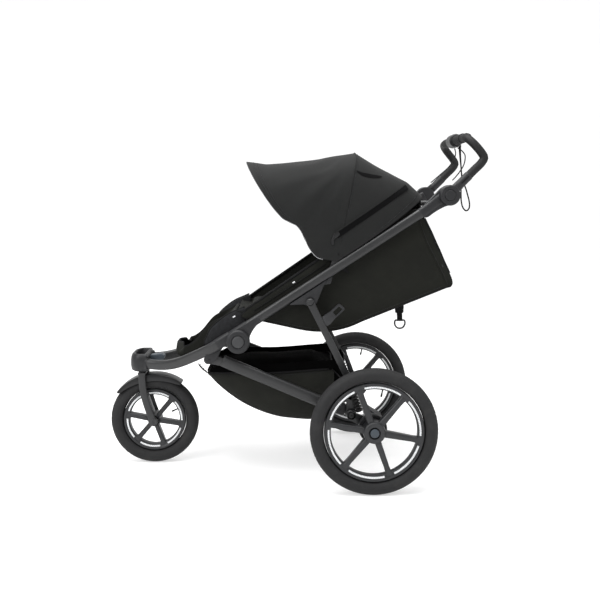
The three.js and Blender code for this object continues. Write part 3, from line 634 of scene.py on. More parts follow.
def u_section(half, height, radius, wall=6):
    """A trough's section as (y, height above its floor), from one rim down, across and up to the other."""
    radius = min(radius, height * 0.9, half * 0.9)
    left = [(-half, height + (radius - height) * k / wall) for k in range(wall)]
    for k in range(TURN_STEPS):
        angle = math.pi / 2 * k / TURN_STEPS
        left.append((-half + radius - radius * math.cos(angle), radius - radius * math.sin(angle)))
    middle = [((-half + radius) * (1 - 2 * k / FLAT_STEPS), 0) for k in range(FLAT_STEPS + 1)]
    return left + middle + [(-y, rise) for y, rise in reversed(left)]


def steering_ring(z, radius):
    """A flat ring of points about the front wheel's steering axis."""
    turns = [2 * math.pi * k / 40 for k in range(40)]
    return [(STEERING_X + radius * math.cos(turn), radius * math.sin(turn), z) for turn in turns]


def front_frame():
    tube = Shape().bar(FRONT_PATH, 12, 17, 72, 32, power=2.7)
    make("front_tube_#", tube, PAINT, "front_frame", "frame_paint", ["front_tube_#"], sharp=60)
    sleeve = Shape().bar([(451, 205, 478.6), (466, 205.2, 470), (484, 204, 459.2), (494, 201.6, 452.6)], 13.2, 18.2,
                         14, 32, power=2.8)
    make("front_sleeve_#", sleeve, PLASTIC, "front_frame", "hard_plastic", bevel=1.2)
    hinge = Shape().disc(426, 465, 34, 177, 192.6, 60, edge=2)
    hinge.plate([(430, 499), (458, 492), (492, 470), (486, 446), (440, 436)], 184.5, 192.4, 9)
    hinge.plate([(474, 448), (500, 398), (514, 387), (532, 387), (540, 398), (536, 414), (508, 438)], 191.6, 196.8, 7)
    hinge.disc(525, 398, 7, 189.5, 198.5, 28)
    hinge.disc(426, 465, 20, 174.5, 178, 48)
    make("front_hinge_#", hinge, PLASTIC, "front_frame", "hard_plastic", ["front_hinge_#"], bevel=1.4)

    # Head block: a tub with thick walls, open on top.
    def block_ring(z, shrink, wide):
        ring = []
        for k in range(33):
            t = math.pi * (k / 32 - 0.5)
            reach = 1 - abs(math.sin(t)) ** 3.2
            ring.append((774 + (35 - shrink * 0.55) * reach ** 0.62, 67.5 * wide * math.sin(t), z))
        rear = 745.2 + shrink * 0.35
        return ring + [(rear, 67.5 * wide, z), (rear, 30, z), (rear, -30, z), (rear, -67.5 * wide, z)]

    outside = [(331, 18, 0.80), (334, 4, 0.88), (342, 2, 0.95), (350, 0, 1), (368, 0, 1), (380, 3, 0.98),
               (388, 9, 0.94), (392, 16, 0.90), (393, 22, 0.86)]
    inside = [(392, 28, 0.80), (388, 31, 0.77), (372, 33, 0.75)]
    block = Shape().grid([block_ring(*level) for level in outside + inside])
    for side in (-1, 1):
        block.bar([(753, side * 53.5, 359), (745, side * 57.2, 359), (741, side * 59, 359)], 14.5, 19.5, 4, 28,
                  power=2.8)
        block.bar([(757, side * 46, 374), (750, side * 49, 376), (742, side * 54, 377)], 10, 8, 6, 20, power=3)
    make("head_block", block, PLASTIC, "front_frame", "hard_plastic", ["head_block"], bevel=1.6, segments=3)
    # A lid of painted shade closes the recess in the block's top.
    lid = Shape().grid([block_ring(z, grow, wide) for z, grow, wide in ((371, 34, 0.74), (374.5, 34, 0.74),
                                                                        (375.5, 38, 0.70))])
    make("head_recess", lid, RECESS_SHADE, "front_frame", "hard_plastic", bevel=0.5)
    # A ring of painted shade in the gap between the block and the fork.
    rings = [steering_ring(z, radius) for z, radius in ((330.8, 20), (331.2, 22.5), (336, 23), (340, 21))]
    make("head_collar", Shape().grid(rings), RECESS_SHADE, "front_frame", "hard_plastic")

    lock = Shape().plate([(744, 363), (744, 380), (704, 384), (695, 378), (694, 371), (701, 363)], -16, 16, 4)
    for k in range(4):
        lock.bar([(702 + k * 6, -13, 384.4 - k * 0.5), (702 + k * 6, 13, 384.4 - k * 0.5)], 0.9, 0.9, 2, 8,
                 across=(1, 0, 0))
    make("swivel_lock", lock, ACCENT, "swivel_lock", "accent_plastic", ["swivel_lock"], bevel=2)

    # Footrest: a padded trough whose end turns up into a cup.
    path = curve_points([(x, 0, z) for x, z in SCOOP], 48)
    rings = []
    for i, centre in enumerate(path):
        ahead = (path[min(i + 1, 48)] - path[max(i - 1, 0)]).normalized()
        inward = Vector((-ahead.z, 0, ahead.x))
        t = i / 48
        toe = smooth(0.76, 1.0, t)
        height = 3 + 35 * smooth(0.0, 0.36, t) * (1 - 0.5 * smooth(0.86, 1.0, t))
        quilt_depth = 1.4 * math.cos(2 * math.pi * i / 12) * (1 - toe)
        half = 87 * math.sqrt(1 - 0.8 * max(0.0, (t - 0.8) / 0.2) ** 2)
        rings.append([centre + Vector((0, y, 0)) + inward * (rise - 1 + (quilt_depth if abs(y) < half - 12 else 0))
                      for y, rise in u_section(half, height, 14)])
    scoop = Shape().grid(rings, around=False, caps=False)
    footrest = make("footrest", scoop, SEAT, "front_frame", "seat_fabric", ["footrest"], solid=7, subdivide=1, sharp=80)
    make("footrest_lip", Shape().bar(rings[-1], 3.0, 3.0, 60, 12, across=(1, 0, 0)), MELANGE, "front_frame",
         "seat_fabric", sharp=60)
    sides = Shape()
    for end in (0, -1):
        sides.bar([ring[end] for ring in rings[2:]], 2.6, 2.6, 48, 10)
    make("footrest_binding", sides, WEBBING, "front_frame", "seat_fabric", sharp=60)


# ---- wheels -------------------------------------------------------------------------------------
SPOKE_ANGLES = [math.radians(10.5 + 60 * k) for k in range(6)]


def turned_about(shape, first, angle, x, z):
    """Turns the points added since first by an angle about a cross-wise axis."""
    c, s = math.cos(angle), math.sin(angle)
    for point in shape.points[first:]:
        dx, dz = point.x - x, point.z - z
        point.x, point.z = x + dx * c - dz * s, z + dx * s + dz * c


def tyre_shape(x, y, z, radius, rim, half):
    """A tyre with a rim flange, side ring, shoulder line, and a tread of ribs and cross cuts."""
    middle, reach = (radius + rim) / 2, (radius - rim) / 2
    profile, tread = [], []
    count = 56
    for k in range(count):
        t = 2 * math.pi * k / count
        out = math.cos(t)
        r, w = middle + reach * out, half * math.sin(t)
        width = abs(w) / half
        if out > 0.72:
            r -= 1.0 if k % 4 == 2 else 0
            tread.append(k)
        if abs(out - 0.62) < 0.06:
            r, w = r - 0.5, w * 0.985
        if -0.62 < out < -0.42:
            w *= 1.02
        if -0.95 < out < -0.72:
            r, w = r + 0.2, w * 1.05
        profile.append((r, y + w * (1 if width < 0.999 else 0.998)))
    pitch = 90

    def cuts(angle, k):
        if k not in tread:
            return 0
        offset = 0.5 if (k // 4) % 2 else 0
        phase = (angle * pitch / (2 * math.pi) + offset + abs(k if k < count / 2 else count - k) * 0.12) % 1
        return -1.1 if phase < 0.26 else 0

    return Shape().lathe(profile, x, z, 270, closed=True, ripples=cuts)


def rim_shape(x, y, z, rim, half, hub, hub_in, hub_out, bore, spoke):
    """Rim ring with a stepped flange, six tapering spokes and the hub barrel."""
    deep, face = rim - 22, half * 0.62
    ring = [(deep, y - face + 4), (deep + 2, y - face + 2), (rim - 10, y - face), (rim - 8.5, y - face - 1.2),
            (rim - 3, y - face - 1.2), (rim - 1.6, y - face + 1), (rim - 1.0, y - 4), (rim - 1.0, y + 4),
            (rim - 1.6, y + face - 1), (rim - 3, y + face + 1.2), (rim - 8.5, y + face + 1.2), (rim - 10, y + face),
            (deep + 2, y + face - 2), (deep, y + face - 4)]
    shape = Shape().lathe(ring, x, z, 144, closed=True)
    for angle in SPOKE_ANGLES:
        first = len(shape.points)
        rings = []
        for t in (0, 0.12, 0.3, 0.55, 0.8, 0.92, 1.0):
            r = bore + 8 + (deep + 9 - bore - 8) * t
            wide = spoke[0] + (spoke[1] - spoke[0]) * t + 3.5 * smooth(0.86, 1, t)
            outer = hub_out - 8 + (y + face - 0.6 - hub_out + 8) * smooth(0, 0.9, t)
            inner = y - 9 + 2 * t
            rings.append([(x + r, inner, z - wide), (x + r, outer - 3, z - wide), (x + r, outer, z - wide + 3.4),
                          (x + r, outer, z + wide - 3.4), (x + r, outer - 3, z + wide), (x + r, inner, z + wide)])
        shape.grid(rings)
        turned_about(shape, first, angle, x, z)
    shape.lathe([(bore, hub_in), (hub - 4, hub_in), (hub, hub_in + 4), (hub, y + 8), (hub - 1.5, hub_out - 3.5),
                 (hub - 5, hub_out - 0.6), (19.5, hub_out), (18, hub_out - 1.5), (18, hub_out - 9),
                 (bore, hub_out - 9)], x, z, 64, closed=True)
    return shape


def arcs_shape(x, z, r0, r1, y0, y1, margin):
    """Six reflective strips between the spokes."""
    shape = Shape()
    for angle in SPOKE_ANGLES:
        shape.lathe([(r0, y0), (r0 + 0.4, y1), (r1 - 0.4, y1), (r1, y0)], x, z, 20, closed=True,
                    start=angle + margin, stop=angle + math.pi / 3 - margin)
    return shape


def valve_shape(x, y, z, radius, angle):
    shape = Shape()
    ways = [(radius + 3, 3.6), (radius - 4, 3.4), (radius - 5, 2.6), (radius - 16, 2.4), (radius - 17, 3.3),
            (radius - 25, 3.1), (radius - 26, 2.2)]
    rings = []
    for r, size in ways:
        centre = Vector((x + r * math.cos(angle), y, z + r * math.sin(angle)))
        side = Vector((-math.sin(angle), 0, math.cos(angle)))
        rings.append([centre + side * size * math.cos(2 * math.pi * k / 14)
                      + Vector((0, size * math.sin(2 * math.pi * k / 14), 0)) for k in range(14)])
    return shape.grid(rings)


def rear_wheels():
    y, z = 320, 200
    make("rear_tyre_#", tyre_shape(0, y, z, 200, 157, 22), TYRE, "rear_wheel_#", "tyre_rubber", ["rear_tyre_#"],
         sharp=50)
    make("rear_rim_#", rim_shape(0, y, z, 157, 22, 35, 293.5, 342, 10.3, (10.5, 8.0)), RIM, "rear_wheel_#",
         "hard_plastic", ["rear_rim_#"], bevel=1.1, sharp=42)
    for name, y0, y1 in (("rear_arcs_#", 332, 334.6), ("rear_inner_arcs_#", 308, 305.6)):
        make(name, arcs_shape(0, z, 139.5, 145.5, y0, y1, 0.115), REFLECTIVE, "rear_wheel_#", "bare_metal")
    make("rear_valve_#", valve_shape(0, y, z, 137, math.radians(101)), RUBBER, "rear_wheel_#", "tyre_rubber")
    cap = Shape().lathe([(0.01, 338), (13.4, 338), (13.6, 341), (13.4, 343.6), (12.2, 344.6), (6, 344.9), (0.01, 345)],
                        0, z, 48)
    make("wheel_release_#", cap, ACCENT, "wheel_release_#", "accent_plastic", ["wheel_release_#"], sharp=60)


def front_wheel():
    x, z = 731, 153
    make("front_tyre", tyre_shape(x, 0, z, 153, 109, 24), TYRE, "front_wheel", "tyre_rubber", ["front_tyre"], sharp=50)
    rim = rim_shape(x, 0, z, 109, 24, 23, -30, 30, 6.3, (7.5, 8.5))
    make("front_rim", rim, RIM, "front_wheel", "hard_plastic", ["front_rim"], bevel=1.1, sharp=42)
    for sign, side in ((1, "l"), (-1, "r")):
        arcs = arcs_shape(x, z, 91.5, 97.5, 12.6 * sign, 15.6 * sign, 0.15)
        make("front_arcs_" + side, arcs, REFLECTIVE, "front_wheel", "bare_metal")
    make("front_valve", valve_shape(x, 0, z, 89, math.radians(157)), RUBBER, "front_wheel", "tyre_rubber")
    axle = Shape().lathe([(0.01, -33.4), (6, -33.4), (6, -31), (9, -31), (9, -29), (6, -29), (6, 29), (9, 29), (9, 31),
                          (6, 31), (6, 33.4), (0.01, 33.4)], x, z, 32)
    make("front_axle", axle, BLACK_METAL, "front_wheel", "bare_metal", ["front_axle"])


def front_fork():
    x, z = 731, 153
    fork = Shape()
    for side in (-1, 1):
        y = 40 * side
        fork.bar([(768.5, y, 324), (768, y, 300), (766, y, 272), (760, y, 240), (750, y, 205), (739, y, 172),
                  (731, y, 150)], 6, 12.5, 36, 24, power=3.0)
        fork.disc(x, z, 15.2, 34.2 * side, 46.4 * side, 44, edge=1.6)
    fork.bar([(768.5, -46, 321.5), (768.5, 46, 321.5)], 14, 4.5, 4, 24, power=3, across=(1, 0, 0))
    fork.grid([steering_ring(z, radius) for z, radius in ((322, 19), (324, 18.5), (328, 16), (330.4, 15.4))])
    make("front_fork", fork, PAINT, "front_fork", "frame_paint", ["front_fork"], bevel=1.3, sharp=45)
    bolts = Shape()
    for side in (-1, 1):
        bolts.lathe([(0.01, 46 * side), (10.4, 46 * side), (10.6, 47.4 * side), (9.4, 48 * side), (5.4, 47.9 * side),
                     (5, 46.6 * side), (0.01, 46.6 * side)], x, z, 36)
    make("fork_bolts", bolts, CAP, "front_fork", "hard_plastic", sharp=50)

    fender = Shape()
    rings, steps, start, stop = [], 64, 0.66, 2.21
    for i in range(steps + 1):
        t = i / steps
        angle = start + (stop - start) * t
        skirt = 7 + 17 * math.sin(math.pi * min(1, max(0, t))) ** 0.6
        crown = [(163.4 - 1.8 * abs(v) ** 3, 29 * v) for v in [k / 10 for k in range(-10, 11)]]
        flank = 160.4 - skirt * 0.35
        outer = [(163 - skirt, -30.2), (flank, -30), *crown, (flank, 30), (163 - skirt, 30.2)]
        inner = [(r - 2.2, y * 0.93) for r, y in outer[2:-2]]
        inner = [(163 - skirt, -28), (158 - skirt * 0.35, -27.6), *inner, (158 - skirt * 0.35, 27.6), (163 - skirt, 28)]
        section = outer + inner[::-1]
        rings.append([(x + r * math.cos(angle), y, z + r * math.sin(angle)) for r, y in section])
    fender.grid(rings)
    make("front_fender", fender, GLOSSY, "front_fork", "hard_plastic", ["front_fender"], bevel=0.5, sharp=50)


# ---- rear legs, lower frame, axle ---------------------------------------------------------------
LEG_TOP = Vector((195, 591))
LEG_WAY = (Vector((0, 200)) - LEG_TOP).normalized()


def leg_point(distance, offset):
    """A side-view point along the rear leg from its top hinge, offset to its rear side."""
    spot = LEG_TOP + LEG_WAY * distance + Vector((-LEG_WAY.y, LEG_WAY.x)) * offset
    return (spot.x, spot.y)


def rear_legs():
    y0, y1 = 219, 233
    legs = Shape()
    for side in (1, -1):
        a, b = y0 * side, y1 * side
        legs.plate([leg_point(*p) for p in ((0, 12), (40, 11), (285, 11), (300, 20), (330, 34), (345, 20), (300, -11),
                                            (40, -11), (0, -12))], a, b, 9)
        legs.disc(195, 591, 13.2, a, b, edge=2.5)
        legs.disc(195, 591, 8, b, (y1 + 2) * side, 32)
        legs.disc(64, 231, 17, a, b, edge=2.5)
        legs.plate([leg_point(280, 11), (78, 235), (50, 229), leg_point(296, -11)], a, b, 5)
        legs.plate([leg_point(270, 11), leg_point(270, -11), (46, 326), (48, 310), (80, 306)], a, (y1 + 26) * side, 4)
    make("rear_legs", legs, PAINT, "rear_legs", "frame_paint", ["rear_legs"], bevel=3.2, segments=3, sharp=45)
    cross = Shape().lathe([(0.01, -221), (10, -221), (10, -212), (12, -210), (12, -204), (10, -202), (10, 202),
                           (12, 204), (12, 210), (10, 212), (10, 221), (0.01, 221)], 62, 290, 36)
    make("leg_cross_tube", cross, PAINT, "rear_legs", "frame_paint", sharp=50)
    hook = Shape()
    outer = rounded([leg_point(*p) for p in ((57, -12), (92, -12), (91, -26), (80, -48), (69, -86), (66, -90),
                                             (47, -83), (44, -77), (54, -44))], 5, 4)
    window = rounded([leg_point(*p) for p in ((59, -50), (51, -76), (64.5, -82), (74.5, -53.5))], 2, 4)
    hook_rings(hook, outer, window, y0 + 1, y1 - 1)
    make("latch_hook", hook, RIM, "latch_hook", "hard_plastic", ["latch_hook"], bevel=1)


def middle_of(outline):
    return Vector((sum(p[0] for p in outline) / len(outline), sum(p[1] for p in outline) / len(outline)))


def hook_rings(shape, outer, window, y0, y1):
    """A plate with one window: the rim is skinned between outer and window points matched by angle."""
    centre = middle_of(window)

    def reach(outline, angle):
        way = Vector((math.cos(angle), math.sin(angle)))
        best = 0.0
        for a, b in zip(outline, outline[1:] + outline[:1]):
            a, b = Vector(a) - centre, Vector(b) - centre
            edge = b - a
            cross = way.x * edge.y - way.y * edge.x
            if abs(cross) < 1e-9:
                continue
            far = (a.x * edge.y - a.y * edge.x) / cross
            t = (a.x * way.y - a.y * way.x) / cross
            if far > 0 and -1e-6 <= t <= 1 + 1e-6:
                best = max(best, far)
        return centre + way * best

    rings = []
    for k in range(64):
        angle = 2 * math.pi * k / 64
        out, inside = reach(outer, angle), reach(window, angle)
        rings.append([(out.x, y0, out.y), (out.x, y1, out.y), (inside.x, y1, inside.y), (inside.x, y0, inside.y)])
    shape.grid(rings, along=True)


def lower_frame():
    tubes = Shape()
    for side in (1, -1):
        tubes.bar([(479, 181 * side, 395), (330, 190 * side, 334), (170, 202 * side, 269), (80, 206 * side, 236.5)],
                  12, 19, 48, 32, power=2.7)
        tubes.plate([(496, 412), (527, 407), (531, 389), (488, 380), (468, 386), (468, 400)], 184 * side, 190 * side, 5)
        tubes.disc(64, 231, 19, 196 * side, 218 * side, 48, edge=2)
    make("lower_tubes", tubes, PAINT, "lower_frame", "frame_paint", ["lower_tubes"], bevel=1.5, sharp=45)
    joints = Shape()
    for side in (1, -1):
        joints.bar([(133, 204 * side, 255.5), (116, 205 * side, 249.5), (84, 207 * side, 238)], 13.4, 20.4, 6, 32,
                   power=2.7)
        joints.disc(64, 231, 10, 217.8 * side, 220.6 * side, 32)
        joints.disc(100, 243, 4, 217 * side, 220.4 * side, 20)
    make("lower_joints", joints, PLASTIC, "lower_frame", "hard_plastic", bevel=1.2)
    cross = Shape().lathe([(0.01, -206), (9, -206), (9, -196), (11, -194), (11, -188), (9, -186), (9, 186), (11, 188),
                           (11, 194), (9, 196), (9, 206), (0.01, 206)], 84, 236, 32)
    make("lower_cross_tube", cross, PAINT, "lower_frame", "frame_paint", sharp=50)


def outline_of(start, *parts):
    """A side-view outline of parts (steps, end) or (steps, control point, end), each from where the last one ended."""
    made = []
    for steps, *marks in parts:
        end = marks[-1]
        middle = marks[0] if len(marks) > 1 else ((start[0] + end[0]) / 2, (start[1] + end[1]) / 2)
        a, b, c = Vector(start), Vector(middle), Vector(end)
        made += [a.lerp(b, i / steps).lerp(b.lerp(c, i / steps), i / steps) for i in range(steps)]
        start = end
    return made


def basket_bottom():
    """The basket's side-view outline from its front rim down and back up to its rear rim."""
    return outline_of((533, 348), (18, (500, 300), (422, 248)), (12, (350, 206), (280, 194)),
                      (8, (238, 189), (196, 187)), (14, (120, 190), (115, 250)), (9, (114, 305), (114, 360)))


def rim_z(x):
    """Height of the basket's rim."""
    return 346 + 13 * smooth(0, 230, 330 - x)


def basket():
    rows, half = [], 147
    path = basket_bottom()
    for spot in path:
        top = rim_z(spot.x)
        depth = max(2.0, top - spot.y)
        row = []
        for y, rise in u_section(half, depth, 24, wall=14):
            wall = smooth(half - 26, half - 2, abs(y)) * math.sin(math.pi * min(1, rise / depth))
            sag = 2.6 * ripple(spot.x * 0.6, 0, rise * 0.4, 46, 3) + 1.4 * ripple(spot.x, y, rise, 26, 8)
            fold = 1.6 * math.sin(spot.x / 10 + rise / 30) * smooth(depth - 60, depth - 10, rise)
            dip = 2.5 * (1 - abs(y) / half) + 1.2 * ripple(spot.x, y, 0, 34, 5)
            row.append((spot.x, y + math.copysign(wall * (3.5 + sag + fold), y),
                        spot.y + rise - dip * (rise < 1) + dip * 0.5))
        rows.append(row)
    bag = Shape().grid(rows, around=False, caps=False)
    piece = make("basket", bag, BASKET, None, "basket_fabric", ["basket"], solid=1.6, sharp=80, subdivide=1)
    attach(piece, "lower_frame")
    edge_lines = Shape()
    for side in (1, -1):
        edge_lines.bar([(spot.x, (half - 5) * side, spot.y + 3) for spot in path[2::3]], 1.5, 1.5, 120, 8)
    make("basket_piping", edge_lines, WEBBING, "lower_frame", "basket_fabric", sharp=60)
    rim = [(x, 149.5, rim_z(x) + 0.5) for x in range(520, 112, -24)]
    loop = [(533, y, 348) for y in (-110, -55, 0, 55, 110)] + rim
    loop += [(114, y, 360) for y in (110, 55, 0, -55, -110)] + [(x, -y, z) for x, y, z in reversed(rim)]
    binding = Shape().bar(loop, 3.2, 3.2, 160, 10, closed=True, across=(0, 0, 1))
    make("basket_binding", binding, WEBBING, "lower_frame", "basket_fabric", sharp=60)

    # Black mesh bands that carry the rim up to the frame, and the gussets behind them.
    rows = []
    for i in range(37):
        x = 524 - (524 - 118) * i / 36
        low, high = rim_z(x) - 2, rim_z(x) + 12 + 18 * smooth(528, 480, x)
        rows.append([(x, 148.6 - 3.4 * k / 6 + 0.8 * ripple(x, 0, k * 5, 30, 2), low + (high - low) * k / 6)
                     for k in range(7)])
    band = Shape().grid(rows, around=False, caps=False)
    for part in make("basket_band_#", band, LINING, "lower_frame", "basket_fabric", solid=1.2, sharp=80):
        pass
    rows = [[(x, 148, low + (high - low) * k / 8) for k in range(9)]
            for x, low, high in ((118, 212, 384), (108, 222, 384), (98, 236, 383), (88, 252, 378), (78, 262, 352))]
    gusset = Shape().grid(rows, around=False, caps=False)
    for part in make("basket_gusset_#", gusset, LINING, "lower_frame", "basket_fabric", solid=1.2, sharp=80):
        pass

    # Zipped cover that bulges over the load.
    rows = []
    for i in range(33):
        u = i / 32
        x = 528 - (528 - 118) * u
        row = []
        for k in range(33):
            v = -1 + k / 16
            dome = (1 - abs(v) ** 2.4) * min(1, 3.2 * u + 0.02, 6 * (1 - u) + 0.02)
            row.append((x, 147 * v, rim_z(x) - 3 + 36 * dome + 1.5 * ripple(x, 147 * v, 0, 50, 5) * dome))
        rows.append(row)
    cover = make("basket_cover", Shape().grid(rows, around=False, caps=False), LINING, None, "basket_fabric", solid=1.4,
                 sharp=80)
    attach(cover, "lower_frame")
    stitch = Shape()
    for side in (1, -1):
        stitch.stitches([(x, 149.6 * side, rim_z(x) - 8) for x in range(516, 120, -30)], 6, 0.6)
    make("basket_stitching", stitch, THREAD, "lower_frame", "basket_fabric")
    hooks = Shape()
    for side in (1, -1):
        hooks.bar([(534, 146 * side, 350), (548, 150 * side, 362), (560, 158 * side, 379)], 9, 1.2, 8, 12, power=4)
        for k in range(4):
            hooks.disc(539 + k * 5.5, 355 + k * 6.6, 1.8, 146 * side, (155 + k) * side, 14, edge=0.4)
        hooks.bar([(116, 148 * side, 356), (92, 186 * side, 330), (80, 205 * side, 262)], 9, 1.2, 14, 12, power=4)
    make("basket_straps", hooks, WEBBING, "lower_frame", "basket_fabric", bevel=0.4)

    # Each basket piece gets a mesh of its own.
    for name in ("basket_look", "basket_piping", "basket_binding", "basket_band_l", "basket_band_r", "basket_gusset_l",
                 "basket_gusset_r", "basket_cover", "basket_stitching", "basket_straps"):
        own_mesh(bpy.data.objects[name])


def rear_axle():
    arms = Shape()
    for side in (1, -1):
        a, b = 236 * side, 250 * side
        arms.plate([(72, 245), (78, 221), (10, 182), (-12, 186), (-8, 216)], a, b, 8)
        arms.disc(64, 231, 16, a, b, edge=2)
        arms.disc(64, 231, 9, b, 252.4 * side, 28)
        arms.disc(0, 200, 20, a, b, edge=2)
        arms.disc(0, 200, 10, a, 334 * side, 32)
    arms.lathe([(0.01, -240), (12, -240), (12, -225), (14, -223), (14, -216), (12, -214), (12, 214), (14, 216),
                (14, 223), (12, 225), (12, 240), (0.01, 240)], 0, 200, 40)
    make("axle_beam", arms, PAINT, "rear_axle", "frame_paint", ["axle_beam"], bevel=1.8, sharp=45)
    drum = Shape().lathe([(10.4, 265), (33, 265), (36, 266), (43, 269.5), (45, 272), (45, 278), (43.6, 279),
                          (43.6, 282), (45, 283), (45, 290), (43.5, 292), (10.4, 292)], 0, 200, 64, closed=True)
    drum.plate([(-30, 232), (-52, 246), (-58, 238), (-40, 222)], 266, 272, 4)
    make("brake_drum_#", drum, PLASTIC, "rear_axle", "hard_plastic", ["brake_drum_#"], sharp=45)

    rings = []
    lean = Vector((math.sin(0.33), 0, math.cos(0.33)))
    side = Vector((math.cos(0.33), 0, -math.sin(0.33)))
    foot = Vector((39, 250, 244))
    for i in range(61):
        t = i / 60
        r = 10.8 + 2.1 * math.cos(2 * math.pi * t * 6 + math.pi) - 1.2 * t
        centre = foot + lean * (62 * t)
        rings.append([centre + side * r * math.cos(2 * math.pi * k / 32) + Vector((0, 1, 0)) * r
                      * math.sin(2 * math.pi * k / 32) for k in range(32)])
    for piece in make("shock_bellows_#", Shape().grid(rings), RUBBER, "rear_axle", "tyre_rubber", ["shock_bellows_#"],
                      sharp=70):
        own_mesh(piece)

    tread = [(-19, 188), (-14, 175), (-24, 160), (-50, 145), (-66, 150), (-64, 160), (-34, 178)]
    pedal = Shape().plate(tread, -34, 34, 5)
    for k in range(5):
        pedal.bar([(-62 + k * 6.5, -28, 160.4 + k * 3.4), (-62 + k * 6.5, 28, 160.4 + k * 3.4)], 1.2, 1.2, 2, 8,
                  across=(1, 0, 0))
    make("brake_pedal", pedal, PLASTIC, "brake_pedal", "hard_plastic", ["brake_pedal"], bevel=2)


# ---- seat ---------------------------------------------------------------------------------------
BASE_LINE = [(408, 556), (330, 548), (240, 526), (146, 512)]
BACK_LINE = [(112, 516), (30, 548), (-110, 604), (-244, 658)]


def seat_outline():
    """Side-view outline of the seat's side panel, front corner first, along the top to the rear."""
    made = outline_of((418, 540), (6, (404, 560), (380, 580)), (18, (156, 734)), (14, (-60, 850)),
                      (8, (-120, 890), (-160, 884)), (3, (-172, 862)), (14, (-215, 770), (-262, 668)),
                      (7, (-276, 634), (-250, 634)), (18, (27, 524)), (16, (120, 476), (228, 499)), (10, (350, 526)),
                      (6, (398, 530), (418, 540)))
    for spot in made:
        if 680 < spot.y < 862 and spot.x < -165:
            spot.x += 3.2 * math.sin(spot.y / 11) * math.sin(math.pi * (spot.y - 680) / 182)
    return made


def span_at(outline, x):
    """Lowest and highest z of a side-view outline at x."""
    hits = []
    for a, b in zip(outline, outline[1:] + outline[:1]):
        if (a.x - x) * (b.x - x) <= 0 and abs(a.x - b.x) > 1e-6:
            hits.append(a.y + (b.y - a.y) * (x - a.x) / (b.x - a.x))
    return min(hits), max(hits)


def flatten(pieces):
    """Gives each piece a mesh of its own."""
    for piece in pieces if isinstance(pieces, list) else [pieces]:
        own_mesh(piece)


REAR_SEAM = [(-155, 849), (-180, 782), (-209, 725), (-235, 672), (-246, 645)]


def seam_distance(x, z):
    best = 1e9
    for (ax, az), (bx, bz) in zip(REAR_SEAM, REAR_SEAM[1:]):
        a, b, p = Vector((ax, az)), Vector((bx, bz)), Vector((x, z))
        t = min(1, max(0, (p - a).dot(b - a) / (b - a).length_squared))
        best = min(best, (p - a.lerp(b, t)).length)
    return best


